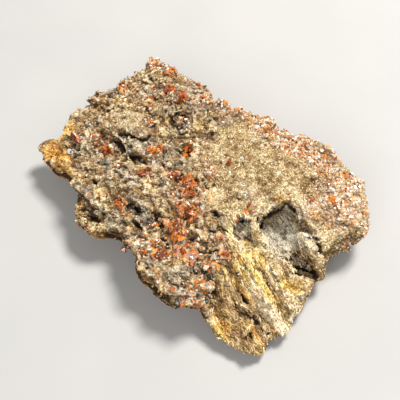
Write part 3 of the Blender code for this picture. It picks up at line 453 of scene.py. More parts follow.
# The streaked slope: a place on its left edge and on its far edge, how these run, and how its streaks run
SLOPE_LEFT_MM = (15.0, -9.3)
SLOPE_LEFT_TURN = math.radians(63.4)
SLOPE_FAR_MM = (26.0, -5.0)
SLOPE_FAR_FALL = 0.25
SLOPE_TURN = math.radians(-27)


def slope_share(points):
    """1 on the streaked slope at the near right, fading at its edges."""
    s, c = math.sin(SLOPE_LEFT_TURN), math.cos(SLOPE_LEFT_TURN)
    left = (points[:, 0] - SLOPE_LEFT_MM[0]) * s + (points[:, 1] - SLOPE_LEFT_MM[1]) * c
    far = -(points[:, 0] - SLOPE_FAR_MM[0]) * SLOPE_FAR_FALL - (points[:, 1] - SLOPE_FAR_MM[1])
    return ease(0.5, 5.0, left) * ease(-1.0, 3.0, far)


def streaks(points, seed):
    """Bands from -1 to 1 that run down the slope."""
    c, s = math.cos(SLOPE_TURN), math.sin(SLOPE_TURN)
    along = points[:, 0] * c + points[:, 1] * s
    across = points[:, 1] * c - points[:, 0] * s
    bent = np.stack([along * 0.09, across + 0.5 * np.sin(along * 0.21), points[:, 2] * 0.3], axis=1)
    return rough_hills(bent, 1.7, 3, seed)


# Meshes

def arrays_of(mesh):
    """A mesh's points in millimetres and its triangles."""
    mesh.calc_loop_triangles()
    points = np.empty(len(mesh.vertices) * 3)
    mesh.vertices.foreach_get("co", points)
    faces = np.empty(len(mesh.loop_triangles) * 3, np.int32)
    mesh.loop_triangles.foreach_get("vertices", faces)
    return points.reshape(-1, 3) / MM, faces.reshape(-1, 3)


def mesh_from(name, points, faces, smooth=False, values=None):
    """A mesh from points in millimetres, triangles, and named numbers at the points."""
    mesh = bpy.data.meshes.new(name)
    mesh.vertices.add(len(points))
    mesh.vertices.foreach_set("co", (np.asarray(points) * MM).astype(np.float32).ravel())
    mesh.loops.add(len(faces) * 3)
    mesh.loops.foreach_set("vertex_index", np.asarray(faces, np.int32).ravel())
    mesh.polygons.add(len(faces))
    mesh.polygons.foreach_set("loop_start", np.arange(len(faces), dtype=np.int32) * 3)
    mesh.polygons.foreach_set("use_smooth", np.full(len(faces), smooth))
    mesh.update(calc_edges=True)
    for key, numbers in (values or {}).items():
        layer = mesh.attributes.new(key, "FLOAT", "POINT")
        layer.data.foreach_set("value", np.asarray(numbers, np.float32))
    return mesh


def new_object(name, data):
    """An object in the scene."""
    obj = bpy.data.objects.new(name, data)
    bpy.context.scene.collection.objects.link(obj)
    return obj


def place(mesh, material, replaced=()):
    """Puts a finished piece on the body, in place of the CAD nodes named."""
    obj = new_object(mesh.name, mesh)
    mesh.materials.append(material)
    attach(obj, "root")
    if replaced:
        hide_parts(*replaced)


def with_modifiers(mesh, settings, chosen=None):
    """The mesh after the modifiers, given as type and values, on the chosen points if any are given."""
    obj = new_object("work", mesh)
    for kind, values in settings.items():
        modifier = obj.modifiers.new(kind.title(), kind)
        for key, value in values.items():
            setattr(modifier, key, value)
        if chosen is not None:
            group = obj.vertex_groups.new(name=kind)
            group.add(np.flatnonzero(chosen).tolist(), 1.0, "REPLACE")
            modifier.vertex_group = group.name
    graph = bpy.context.evaluated_depsgraph_get()
    made = bpy.data.meshes.new_from_object(obj.evaluated_get(graph))
    bpy.data.objects.remove(obj)
    return made


def remeshed(points, faces, voxel_mm, rounds):
    """The closed surface as an even mesh, smoothed this many times."""
    return arrays_of(with_modifiers(mesh_from("remeshed", points, faces), {
        "REMESH": {"mode": "VOXEL", "voxel_size": voxel_mm * MM},
        "SMOOTH": {"factor": 0.5, "iterations": rounds},
    }))


def numbers_of(mesh, keys):
    """The named numbers at the mesh's points."""
    found = {}
    for key in keys:
        values = np.empty(len(mesh.vertices), np.float32)
        mesh.attributes[key].data.foreach_get("value", values)
        found[key] = values.astype(float)
    return found


def unit(vectors):
    """The vectors, each made one long."""
    return vectors / np.maximum(np.linalg.norm(vectors, axis=1), 1e-9)[:, None]


def across_of(points, faces):
    """Each triangle's direction, as long as twice its area."""
    a, b, c = (points[faces[:, k]] for k in range(3))
    return np.cross(b - a, c - a)


def normals_of(points, faces):
    """The surface's direction at each point."""
    across = across_of(points, faces)
    total = np.zeros_like(points)
    for k in range(3):
        for axis in range(3):
            total[:, axis] += np.bincount(faces[:, k], across[:, axis], len(points))
    return unit(total)


def joined(meshes):
    """Several (points, faces) as one."""
    points, faces, start = [], [], 0
    for some_points, some_faces in meshes:
        points.append(some_points)
        faces.append(some_faces + start)
        start += len(some_points)
    return np.concatenate(points), np.concatenate(faces)


class Skin:
    """A surface for small bodies to stand on. Each triangle has its middle, its direction as long as twice
    its area, how far it looks up, and how clear it is of painted shade."""

    def __init__(self, points, faces, painted_shade=None):
        self.points, self.faces = points, faces
        self.middle = points[faces].mean(axis=1)
        self.across = across_of(points, faces)
        self.up = unit(self.across)[:, 2]
        self.clear = 1.0 if painted_shade is None else 1 - np.clip(painted_shade[faces].max(axis=1), 0, 1)


# The rock

# The crusts of tiny plates: how many on each square millimetre, and the share of pale ones
CRUSTS = {
    "wulfenite_druse_far_left": (2.6, 0.8),
    "wulfenite_druse_far_right": (2.6, 0.8),
    "wulfenite_druse_right_end": (2.0, 0.93),
}
ROCK_NODES = ["matrix", "hollow_druse", *CRUSTS]

# Nodes whose solid is let down into the rock, smaller, for their crystals to grow from
RISES = ("wulfenite_cluster", "quartz")
RISE_SHARE = 0.8
RISE_DROP_MM = 0.9


def plain_skin():
    """The rock's and the crusts' surface as one fine closed mesh without the solids' facets, with the rises
    under the clusters, broken flakes, a lump in a hollow and the lips over the hollows."""
    points, faces = joined([arrays_of(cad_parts[name].data) for name in ROCK_NODES])
    points, faces = remeshed(points, faces, SMOOTHING_VOXEL_MM, SMOOTHING_ROUNDS)
    points = undercut(calmed(points, faces))
    parts = [(points, faces), rock_flakes(points, faces)]
    parts += [rise_under(node) for name, node in sorted(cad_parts.items()) if name.startswith(RISES)]
    parts += [lump(centre, radii, SEED + 650 + k) for k, (centre, radii) in enumerate(LUMPS_MM)]
    parts += [lip_slab(line, points, faces, SEED + 700 + k) for k, line in enumerate(LIPS_MM)]
    return remeshed(*joined(parts), SKIN_VOXEL_MM, 1)


def rise_under(node):
    """A cluster's solid, smaller and let down into the rock: the rock that its crystals grow from."""
    points, faces = arrays_of(node.data)
    middle = points.mean(axis=0)
    return middle + RISE_SHARE * (points - middle) - np.array([0.0, 0.0, RISE_DROP_MM]), faces


# Heights of the upper face on a grid

GRID_STEP_MM = 0.5
GRID_CORNER_MM = (-54.0, -38.0)
GRID_SIZE = (216, 152)


def grid_place(points):
    """Where each point lies on the grid, as whole cells."""
    cells = np.floor((points[:, :2] - np.array(GRID_CORNER_MM)) / GRID_STEP_MM).astype(int)
    return np.clip(cells[:, 0], 0, GRID_SIZE[0] - 1), np.clip(cells[:, 1], 0, GRID_SIZE[1] - 1)


def blurred(grid, width_mm):
    """The grid after a soft blur, with a Gaussian this wide."""
    reach = int(3 * width_mm / GRID_STEP_MM) + 1
    steps = np.arange(-reach, reach + 1) * GRID_STEP_MM
    kernel = np.exp(-0.5 * (steps / width_mm) ** 2)
    kernel /= kernel.sum()
    for axis in (0, 1):
        grid = np.apply_along_axis(lambda row: np.convolve(row, kernel, "same"), axis, grid)
    return grid


def level_at(points, weights, width_mm):
    """The mean height about each point, over the weighted points within about width_mm."""
    i, j = grid_place(points)
    total, share = np.zeros(GRID_SIZE), np.zeros(GRID_SIZE)
    np.add.at(total, (i, j), weights * points[:, 2])
    np.add.at(share, (i, j), weights)
    return (blurred(total, width_mm) / np.maximum(blurred(share, width_mm), 1e-6))[i, j]


def calmed(points, faces):
    """Flattens the broad lumps of the upper face outside the hollows, where the real one is nearly level."""
    normals = normals_of(points, faces)
    top = ease(0.25, 0.6, normals[:, 2]) * (1 - in_hollow(points, 1.6))
    high = ease(6.0, 12.0, points[:, 2])
    lumps = level_at(points, top + 1e-6, 0.8) - level_at(points, top + 1e-6, 4.0)
    share = top * high * (0.7 + 0.22 * slope_share(points))
    moved = points.copy()
    moved[:, 2] -= share * np.clip(lumps, -2.2, 2.2)
    return moved


# Hollows and lips

def inside_line(points, corners):
    """Which points lie inside a closed line of (x, y) corners, seen from above."""
    inside = np.zeros(len(points), bool)
    x, y = points[:, 0], points[:, 1]
    for (ax, ay), (bx, by) in zip(corners, corners[1:] + corners[:1]):
        crosses = (ay > y) != (by > y)
        inside ^= crosses & (x < (bx - ax) * (y - ay) / (by - ay + 1e-12) + ax)
    return inside


def in_hollow(points, margin_mm=0.0):
    """1 inside the hollows, fading over the margin outside them."""
    share = np.zeros(len(points))
    for corners in HOLLOWS_MM:
        away = line_distance(points, corners + corners[:1])
        away = np.where(inside_line(points, corners), 0.0, away)
        share = np.maximum(share, 1 - ease(0.0, max(margin_mm, 1e-3), away))
    return share


def undercut(points):
    """Makes the hollows' walls steep below the lips, and moves them back so that each lip overhangs."""
    moved = points.copy()
    for corners, floor, line in zip(HOLLOWS_MM, HOLLOW_FLOORS_MM, (LIPS_MM[1], LIPS_MM[0])):
        deep = inside_line(points, corners) * ease(0.0, 0.5, line_distance(points, corners + corners[:1]))
        deep = deep * ease(6.0, 3.0, line_distance(points, line))
        moved[:, 2] -= 0.8 * deep * np.maximum(points[:, 2] - floor, 0)
    points = moved.copy()
    inside = in_hollow(points, 0.6)
    below = ease(16.9, 16.2, points[:, 2]) * ease(9.5, 12.0, points[:, 2])
    for line in LIPS_MM:
        away = line_distance(points, line)
        share = inside * below * np.exp(-(away / 2.4) ** 2)
        for (ax, ay), (bx, by) in zip(line, line[1:]):
            length = math.hypot(bx - ax, by - ay)
            near = np.exp(-((line_distance(points, [(ax, ay), (bx, by)]) - away) / 0.8) ** 2)
            moved[:, 0] -= UNDERCUT_MM * share * near * (by - ay) / length * 0.6
            moved[:, 1] += UNDERCUT_MM * share * near * (bx - ax) / length * 0.6
    return moved


def lip_slab(line, points, faces, seed):
    """A thin ragged slab along the rock's edge over a hollow, rooted in the rock on the line's left."""
    rng = np.random.default_rng(seed)
    fine = []
    for (ax, ay), (bx, by) in zip(line, line[1:]):
        steps = max(2, int(math.hypot(bx - ax, by - ay) / 0.4))
        fine += [(ax + (bx - ax) * t / steps, ay + (by - ay) * t / steps) for t in range(steps)]
    fine = np.array(fine + [line[-1]])
    ahead = np.gradient(fine, axis=0)
    back = unit(np.stack([-ahead[:, 1], ahead[:, 0], np.zeros(len(fine))], axis=1))[:, :2]
    edge = fine - back * rng.uniform(-0.3, 0.7, len(fine))[:, None]
    root = fine + back * LIP_ROOT_MM
    top = points[normals_of(points, faces)[:, 2] > 0.5]
    nearest = [np.argsort(np.hypot(*(top[:, :2] - corner).T))[:40] for corner in root]
    level = np.array([np.median(top[index, 2]) for index in nearest])
    level = np.convolve(np.pad(level, 4, "edge"), np.ones(9) / 9, "valid")
    thick = LIP_THICK_MM * rng.uniform(0.8, 1.15, len(fine))
    rows = [
        np.column_stack([edge, level + 0.1]), np.column_stack([root, level - 0.4]),
        np.column_stack([root, level - 0.4 - thick]), np.column_stack([edge, level + 0.1 - thick]),
    ]
    count = len(fine)
    made, triangles = np.concatenate(rows), []
    for k in range(count - 1):
        for row in range(4):
            a, b = row * count + k, ((row + 1) % 4) * count + k
            triangles += [(a, b, b + 1), (a, b + 1, a + 1)]
    for k, order in ((0, (0, 3, 2, 1)), (count - 1, (0, 1, 2, 3))):
        a, b, c, d = (row * count + k for row in order)
        triangles += [(a, b, c), (a, c, d)]
    return made, outward(made, np.array(triangles))


def lump(centre, radii, seed):
    """An uneven closed lump."""
    rings, around = 10, 16
    points = [(0.0, 0.0, 1.0)]
    for ring in range(1, rings):
        tilt = math.pi * ring / rings
        for k in range(around):
            turn = 2 * math.pi * k / around
            points.append((math.sin(tilt) * math.cos(turn), math.sin(tilt) * math.sin(turn), math.cos(tilt)))
    points = np.array(points + [(0.0, 0.0, -1.0)])
    last = len(points) - 1
    triangles = []
    for k in range(around):
        n = (k + 1) % around
        triangles += [(0, 1 + k, 1 + n), (last, last - around + n, last - around + k)]
        for ring in range(rings - 2):
            a, b = 1 + ring * around, 1 + (ring + 1) * around
            triangles += [(a + k, b + k, b + n), (a + k, b + n, a + n)]
    points = points * (1 + 0.25 * hills(3 * points, 1.0, seed))[:, None] * np.array(radii) + np.array(centre)
    return points, outward(points, np.array(triangles))


def outward(points, triangles):
    """The closed mesh's triangles, turned so that they face out."""
    a, b, c = (points[triangles[:, k]] for k in range(3))
    return triangles if np.einsum("ij,ij->", a, np.cross(b, c)) > 0 else triangles[:, ::-1]


def rough_share(points):
    """1 where the upper face is broken and flaky, 0 on the level part and the slope."""
    ragged = points[:, 0] + 3 * hills(points, 6.0, SEED + 140)
    level = ease(-6.0, 1.0, ragged) * ease(-6.0, -1.0, points[:, 1] + 0.25 * points[:, 0])
    return (1 - level) * (1 - slope_share(points)) * (1 - spots(points, SMOOTH_MM, SEED + 142))


def rock_flakes(points, faces):
    """Thin broken flakes of rock that lie nearly flat on the rough parts."""
    rng = np.random.default_rng(SEED + 600)
    skin = Skin(points, faces)
    density = (0.02 + 0.17 * rough_share(skin.middle)) * (skin.up > 0.6)
    places, normals, _ = sample_surface(skin, density * (1 - 0.8 * slope_share(skin.middle)), rng)
    count = len(places)
    size = rng.uniform(0.5, 1.7, count)
    sizes = np.stack([size, size * rng.uniform(0.4, 0.8, count), rng.uniform(0.18, 0.34, count)], axis=1)
    axes = axes_on(normals, 0.3, rng)
    return copies(tablet(0.9), places + 0.22 * normals, axes, sizes, rng, 0.25)[:2]


def loosened(points, reach, size):
    """The points moved about a little, so that lines measured from them come out ragged."""
    return points + reach * np.stack([hills(points, size, SEED + k) for k in (21, 22, 24)], axis=1)


# Relief of the skin in millimetres, each row with its seed last
WAVES = ((0.12, 4.0, 0), (0.1, 1.6, 3))  # soft undulations: height, spacing
STEPS = ((0.06, 0.14, 3.6, 5), (0.05, 0.07, 1.7, 7))  # broken steps: height, more where rough, spacing
BLOCKS = ((2.6, 0.42, 101), (1.25, 0.34, 105))  # broken blocks: size, height
RIDGES = ((0.75, 1.0, 9), (0.45, 2.1, 10), (0.25, 4.4, 12))  # ridges down the slope: height, fineness


def shape_large(points, faces):
    """Undulations, broken steps, ribs, beds, cracks and pits, down to about a millimetre. Gives the points
    and the painted shade at each one: black in the pocks, joints, cracks and pits, and painted shadows on
    the hollows' walls."""
    normals = normals_of(points, faces)
    up = normals[:, 2]
    facing = ease(0.15, 0.6, up)
    smooth = spots(points, SMOOTH_MM, SEED + 142)
    slope = slope_share(points) * facing
    rough = rough_share(points) * facing
    push = np.zeros(len(points))
    for height, size, seed in WAVES:
        push += height * rough_hills(points, size, 2, SEED + seed)
    for height, more, size, seed in STEPS:
        push += (height + more * rough) * np.tanh(6 * hills(points, size, SEED + seed))
    loose = loosened(points, 0.35, 0.9) * np.array([1, 1, 1.6])
    for size, height, seed in BLOCKS:
        number = grain_field(loose, size, SEED + seed)[2]
        blocks = (0.25 + 0.75 * rough) * facing * height * (number - 0.55)
        push += blocks * (1 - 0.6 * slope) * (1 - 0.8 * smooth)
    broken = 0.6 + 0.6 * np.abs(hills(points, 1.6, SEED + 11))
    for height, fineness, seed in RIDGES:
        push += slope * broken * height * (0.4 - np.abs(streaks(fineness * points, SEED + seed)))
    for line, width, height in RIBS_MM:
        push += height * np.exp(-(line_distance(points, line) / width) ** 2) * facing
    side = ease(0.2, 0.8, 1 - np.abs(up))
    beds = points * np.array([0.12, 0.12, 1.0])
    push += side * 0.3 * np.tanh(4 * hills(beds, 1.2, SEED + 13))
    near, _, number = grain_field(points, 2.0, SEED + 17)
    pocks = np.where(number < 0.1 + 0.14 * rough, np.exp(-(near / 0.27) ** 2), 0.0)
    push -= 0.6 * pocks * (0.4 + 0.6 * facing)
    near, second, number = grain_field(loosened(points, 0.7, 1.6), 3.4, SEED + 23)
    joints = np.exp(-((second - near) / 0.09) ** 2) * (number < 0.5) * rough
    push -= 0.45 * joints
    # Painted shade: the pocks and joints are painted dark as well as cut in
    painted_shade = np.maximum(0.9 * pocks, 0.8 * joints)
    loose = loosened(loosened(points, 0.35, 1.3), 0.2, 0.6)
    above = ease(0.0, 0.35, up)
    uneven = 1.15 + 0.6 * hills(points, 1.1, SEED + 26)
    # The cracks and pits are cut in and also painted black inside, as painted shade
    for path, width, depth in CRACKS_MM:
        share = np.exp(-(path_distance(loose, path) / (uneven * width)) ** 6) * above
        push -= 1.1 * depth * share
        painted_shade = np.maximum(painted_shade, ease(0.05, 0.5, share))
    for (x, y), radius, depth in PITS_MM:
        share = np.exp(-(np.hypot(loose[:, 0] - x, loose[:, 1] - y) / radius) ** 4) * above
        push -= depth * share
        painted_shade = np.maximum(painted_shade, share)
    # Painted shadows under the hollows' lips: black on their walls, with no relief cut
    walls = (in_hollow(points, 3.0) > 0.1) * ease(18.7, 18.1, points[:, 2])
    for path, width in LIP_SHADOWS_MM:
        painted_shade = np.maximum(painted_shade, walls * np.exp(-(path_distance(loose, path) / (1.1 * width)) ** 6))
    return points + normals * push[:, None], painted_shade


def shape_small(points, faces):
    """Sugary grains, under a millimetre, or thin ridges where the rock is rough. Gives the points, the
    painted shade between the grains and in the holes between the ridges, and its tone."""
    normals = normals_of(points, faces)
    down = ease(0.2, 0.7, -normals[:, 2])
    coarse, coarse_next, coarse_number = grain_field(points, 0.95, SEED + 31)
    fine, fine_next, fine_number = grain_field(points, 0.5, SEED + 41)
    push = 0.14 * (0.55 - coarse) + 0.16 * (coarse_number - 0.5)
    push += 0.11 * (0.55 - fine) + 0.07 * (fine_number - 0.5)
    # Painted shade between the grains, where their cells meet
    whole = 0.45 + 0.55 * ease(0.0, 0.3, fine_next - fine)
    gap_shade = 1 - np.minimum(ease(0.0, 0.3, coarse_next - coarse), whole)
    tone = 0.5 + 0.3 * (coarse_number - 0.5) + 0.45 * (fine_number - 0.5)
    rough = rough_share(points) * ease(0.1, 0.5, normals[:, 2])
    loose = loosened(points, 0.3, 0.8) * np.array([1.0, 1.0, 1.5])
    ridge = 1 - 2.6 * np.abs(hills(loose, 1.5, SEED + 45))
    thin = 1 - 2.6 * np.abs(hills(loose, 0.75, SEED + 47))
    crumbly = 0.2 * ridge + 0.12 * thin - 0.08 + 0.06 * (0.55 - fine) + 0.05 * (fine_number - 0.5)
    push += 0.85 * rough * (crumbly - push)
    # Painted shade in the holes between the thin ridges, where the rock is rough
    hole = 0.9 * ease(-0.1, -0.9, 0.65 * ridge + 0.35 * thin)
    hole = np.maximum(hole, 0.5 * ease(0.25, 0.0, fine_next - fine))
    gap_shade += 0.85 * rough * (hole - gap_shade)
    shaped = points + normals * (push * (1 - 0.35 * down))[:, None]
    return shaped, gap_shade, tone


def bare_share(points):
    """1 on the bare grey rock inside the hollows and just under their lips."""
    below_lips = sum(line_distance(points, line) < 3.5 for line in LIPS_MM) > 0
    bare = np.maximum(in_hollow(points), in_hollow(points, 3.5) * below_lips * (points[:, 2] < 16.8))
    bare = bare * ease(HOLLOW_TOP_MM + 0.3, HOLLOW_TOP_MM - 0.5, points[:, 2])
    return bare * (1 - 0.85 * ease(33.5, 37.0, points[:, 0] - 0.6 * points[:, 1]))


def rock_values(points, normals, painted_shade, gap_shade, tone):
    """The stains at each point, the painted light that makes the hollows paler, and the painted shade passed
    through, as the numbers that the rock's material mixes.
    """
    kinds = {kind: spots(points, rows, SEED + ZONE_SEEDS[kind]) for kind, rows in ZONES_MM.items()}

    def add(kind, share):
        kinds[kind] = np.maximum(kinds[kind], share)

    def patches(low, high, size, seed, rounds=3):
        return ease(low, high, rough_hills(points, size, rounds, SEED + seed))

    up = normals[:, 2]
    slope = slope_share(points) * ease(0.1, 0.5, up)
    bands = streaks(points, SEED + 9)
    veins = 0.75 * streaks(points, SEED + 51) + 0.45 * streaks(2.7 * points, SEED + 53)
    add("yellow", 0.85 * slope * ease(-0.1, 0.45, veins))
    add("brown", 0.75 * slope * ease(0.1, 0.5, -bands))
    add("cream", 0.8 * slope * ease(0.0, 0.5, bands))
    rough = rough_share(points) * ease(0.0, 0.4, up) * (1 - kinds["ochre"])
    add("grey", 0.6 * rough * patches(-0.1, 0.5, 4.4, 94))
    add("brown", 0.6 * rough * patches(0.0, 0.5, 2.6, 97))
    # Hollows: grey rock; the cream patches there are partly real specks, partly painted light on shaded
    # walls
    bare = bare_share(points)
    add("grey", bare * (0.5 + 0.5 * hills(points, 2.4, SEED + 92)))
    for kind, share in (("ochre", 0.9), ("brown", 0.9), ("yellow", 0.8)):
        kinds[kind] = kinds[kind] * (1 - share * bare)
    add("cream", 0.75 * bare * patches(-0.4, 0.3, 1.8, 99))
    loose = loosened(points, 0.4, 1.3)
    for kind, rows in STAIN_LINES_MM.items():
        for path, width in rows:
            share = np.exp(-(path_distance(loose, path) / (1.2 * width)) ** 4)
            for other in STAIN_LINES_MM:
                kinds[other] = kinds[other] * (1 - 0.85 * share)
            add(kind, share)
    under = ease(0.0, 0.5, -up)
    add("ochre", 0.5 * ease(0.35, 0.9, 1 - np.abs(up)) * patches(-0.1, 0.6, 9.0, 80, 2))
    add("grey", 0.5 * under * patches(0.0, 0.6, 8.0, 83, 2))
    add("brown", 0.4 * under)
    add("rose", 0.5 * rough * patches(-0.5, 0.4, 5.4, 89))
    # 0.3 * bare is painted light: it makes the shaded hollows paler
    tone = tone + 0.3 * bare + 0.22 * rough_hills(points, 2.6, 3, SEED + 86) - 0.07 * rough
    return {**kinds, "painted_shade": np.clip(painted_shade, 0, 1), "gap_shade": gap_shade, "tone": np.clip(tone, 0, 1)}


def part_of(points, faces, values, chosen):
    """The chosen faces with only their own points."""
    used = np.unique(faces[chosen])
    renumber = np.zeros(len(points), np.int64)
    renumber[used] = np.arange(len(used))
    return points[used], renumber[faces[chosen]], {k: v[used] for k, v in values.items()}


def thinned_underside(points, faces, values):
    """The same surface with fewer triangles below, where nothing fine shows."""
    below = (normals_of(points, faces)[:, 2] < -0.25) & (points[:, 2] < UNDERSIDE_TOP_MM)
    share = below[faces].all(axis=1).mean()
    ratio = float(1 - share * (1 - UNDERSIDE_SHARE))
    mesh = mesh_from("thin", points, faces, False, values)
    mesh = with_modifiers(mesh, {"DECIMATE": {"ratio": ratio}}, below)
    return *arrays_of(mesh), numbers_of(mesh, values)


def inside_box(points, spare):
    """The points, held within the CAD model's box with this much to spare, and above the table."""
    low = np.array(CAD_BOX[0]) / MM - spare
    high = np.array(CAD_BOX[1]) / MM + spare
    low[2] = 0.0
    return np.clip(points, low, high)


def slices(skin, seams_mm):
    """Which triangles lie between each two neighbouring seams along X, from left to right."""
    bounds = (-1e9, *seams_mm, 1e9)
    for low, high in zip(bounds, bounds[1:]):
        yield (skin.middle[:, 0] >= low) & (skin.middle[:, 0] < high)


def make_rock(material):
    """The rock's pieces. Gives back the whole skin for what stands on it."""
    points, faces = plain_skin()
    points, painted_shade = shape_large(points, faces)
    points, gap_shade, tone = shape_small(points, faces)
    values = {"painted_shade": painted_shade, "gap_shade": gap_shade, "tone": tone}
    points, faces, values = thinned_underside(points, faces, values)
    points = inside_box(points, 0.3)
    normals = normals_of(points, faces)
    up = normals[:, 2]
    weights = ease(0.1, 0.4, up) + 1e-6
    # Painted light and shade: tone up on crests, down in dips; deep rough troughs dark as shade with some
    # dirt
    crest, deep = (points[:, 2] - level_at(points, weights, width) for width in (1.1, 2.4))
    values["tone"] = values["tone"] + 0.28 * np.clip(crest / 0.6, -1, 1) * (up > 0.1)
    trough = ease(-0.9, -1.9, deep) * ease(0.1, 0.45, up) * (1 - in_hollow(points, 2.5))
    values["painted_shade"] = np.maximum(values["painted_shade"], 0.9 * trough * rough_share(points))
    values = rock_values(points, normals, **values)
    skin = Skin(points, faces, values["painted_shade"])
    for number, chosen in enumerate(slices(skin, SEAM_X_MM)):
        some_points, some_faces, some_values = part_of(points, faces, values, chosen)
        mesh = mesh_from(f"rock_{number + 1}", some_points, some_faces, True, some_values)
        place(mesh, material, ["matrix"])
    return skin


# Grains and small crystals

def double_pyramid():
    """A small octahedron, for grains."""
    points = [(1, 0, 0), (0, 1, 0), (-1, 0, 0), (0, -1, 0), (0, 0, 1), (0, 0, -1)]
    faces = [(k, (k + 1) % 4, 4) for k in range(4)] + [((k + 1) % 4, k, 5) for k in range(4)]
    return np.array(points, float), np.array(faces)


def stacked(levels):
    """A closed block of squares one above the other, each given as half its width and its height."""
    square = [(-1, -1), (1, -1), (1, 1), (-1, 1)]
    points = [(x * half, y * half, level) for half, level in levels for x, y in square]
    last = 4 * (len(levels) - 1)
    faces = [(0, 2, 1), (0, 3, 2), (last, last + 1, last + 2), (last, last + 2, last + 3)]
    for base in range(0, last, 4):
        for k in range(4):
            n = (k + 1) % 4
            faces += [(base + k, base + n, base + n + 4), (base + k, base + n + 4, base + k + 4)]
    return np.array(points, float), np.array(faces)


def tablet(top):
    """A square block whose upper face is this wide against its lower one."""
    return stacked([(1.0, -1), (top, 1)])


# A square tablet, widest at its middle, as wulfenite grows
BEVELLED_TABLET = stacked([(0.62, -1), (1.0, -0.2), (1.0, 0.2), (0.62, 1)])


def sample_surface(skin, density, rng):
    """Random places on a skin, its direction there, and the triangle of each. density is how many stand on
    each square millimetre."""
    area = np.linalg.norm(skin.across, axis=1) / 2
    wanted = area * density
    number = int(round(wanted.sum()))
    if number == 0:
        return np.zeros((0, 3)), np.zeros((0, 3)), np.zeros(0, int)
    chosen = rng.choice(len(skin.faces), number, p=wanted / wanted.sum())
    u, v = rng.random(number), rng.random(number)
    u, v = np.where(u + v > 1, 1 - u, u), np.where(u + v > 1, 1 - v, v)
    a, b, c = (skin.points[skin.faces[chosen, k]] for k in range(3))
    places = a + (b - a) * u[:, None] + (c - a) * v[:, None]
    return places, skin.across[chosen] / np.maximum(2 * area[chosen], 1e-9)[:, None], chosen


def along_surface(vectors, normals):
    """The vectors without their part along the normals."""
    return vectors - np.einsum("ij,ij->i", vectors, normals)[:, None] * normals


def axes_on(normals, lean, rng):
    """Three axes for each place: the last stands off the surface, leaning at random."""
    up = unit(normals + lean * rng.normal(size=normals.shape))
    side = unit(np.cross(up, rng.normal(size=normals.shape)))
    return np.stack([side, np.cross(up, side), up], axis=1)


def copies(shape, places, axes, sizes, rng, uneven=0.12):
    """A copy of the shape at each place, each a little uneven, as one mesh, with the owner of each point."""
    corners, triangles = shape
    count, each = len(places), len(corners)
    bent = corners[None] * (1 + uneven * rng.uniform(-1, 1, (count, each, 3)))
    local = bent * sizes[:, None, :]
    points = places[:, None] + np.einsum("nkj,nji->nki", local, axes)
    faces = triangles[None] + each * np.arange(count)[:, None, None]
    return points.reshape(-1, 3), faces.reshape(-1, 3), np.repeat(np.arange(count), each)


def near_node(name, centres, reach):
    """Which of the places lie within reach of a CAD node's surface."""
    points, faces = arrays_of(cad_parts[name].data)
    low, high = points.min(axis=0) - reach, points.max(axis=0) + reach
    found = np.all((centres > low) & (centres < high), axis=1)
    tree = BVHTree.FromPolygons(points.tolist(), faces.tolist())
    for index in np.flatnonzero(found):
        found[index] = tree.find_nearest(Vector(centres[index]), reach)[0] is not None
    return found


def stains_and_painted_light(places, normals, tone, owner):
    """The rock's stains, and its painted light in the hollows, where small bodies stand, at each body's
    points.
    """
    zeros = np.zeros(len(places))
    return {key: numbers[owner] for key, numbers in rock_values(places, normals, zeros, zeros, tone).items()}


def sprinkle(name, skin, density, size_mm, shape, slot, materials, seed, replaced=(), lean=0.6, flat=0.8,
             sunk=0.25, pale=0.5, deep=1.0, places=None):
    """Small bodies of one shape over the skin, in one piece. lean is how far they lean, flat their height
    against their width, sunk how deep they sit, pale the share of pale crystals, and deep how much darker
    the others are. places are given instead of a density."""
    rng = np.random.default_rng(SEED + seed)
    standing, normals = sample_surface(skin, density, rng)[:2] if places is None else places
    count = len(standing)
    size = size_mm[0] + (size_mm[1] - size_mm[0]) * rng.random(count) ** 1.8
    sizes = 0.5 * size[:, None] * np.stack([
        rng.uniform(0.8, 1.2, count), rng.uniform(0.7, 1.1, count), flat * rng.uniform(0.7, 1.2, count),
    ], axis=1)
    axes = axes_on(normals, lean, rng)
    middles = standing + normals * (0.5 * size * (0.5 - sunk))[:, None]
    made, triangles, owner = copies(shape, middles, axes, sizes, rng)
    tint = rng.random(count)
    pale = pale + PALE_PATCHES * hills(standing, 3.2, SEED + 37)
    tint = np.where(rng.random(count) < pale, 0.54 + 0.46 * tint ** 1.9, 0.45 * tint ** deep)
    values = {"tint": tint[owner], "amber": (rng.random(count) < AMBER_SHARE)[owner]}
    if slot not in CRYSTAL_SLOTS:
        values = stains_and_painted_light(standing, normals, 0.5 + 0.5 * rng.uniform(-1, 1, count), owner)
    place(mesh_from(name, inside_box(made, 0.6), triangles, False, values), materials[slot], replaced)


def share_made():
    """How many of the small bodies this run makes."""
    return 1.0


def make_grains(skin, materials):
    """The sugary grains that cover the rock, in pieces from left to right."""
    density = share_made() * (0.3 + 4.4 * ease(-0.1, 0.35, skin.up))
    density *= (1 - 0.35 * slope_share(skin.middle)) * (1 - 0.6 * rough_share(skin.middle))
    density *= skin.clear ** 2
    for number, chosen in enumerate(slices(skin, GRAIN_SEAM_X_MM)):
        sprinkle(f"rock_grains_{number + 1}", skin, density * chosen, (0.24, 0.66), double_pyramid(),
                 "matrix", materials, 100 + number)


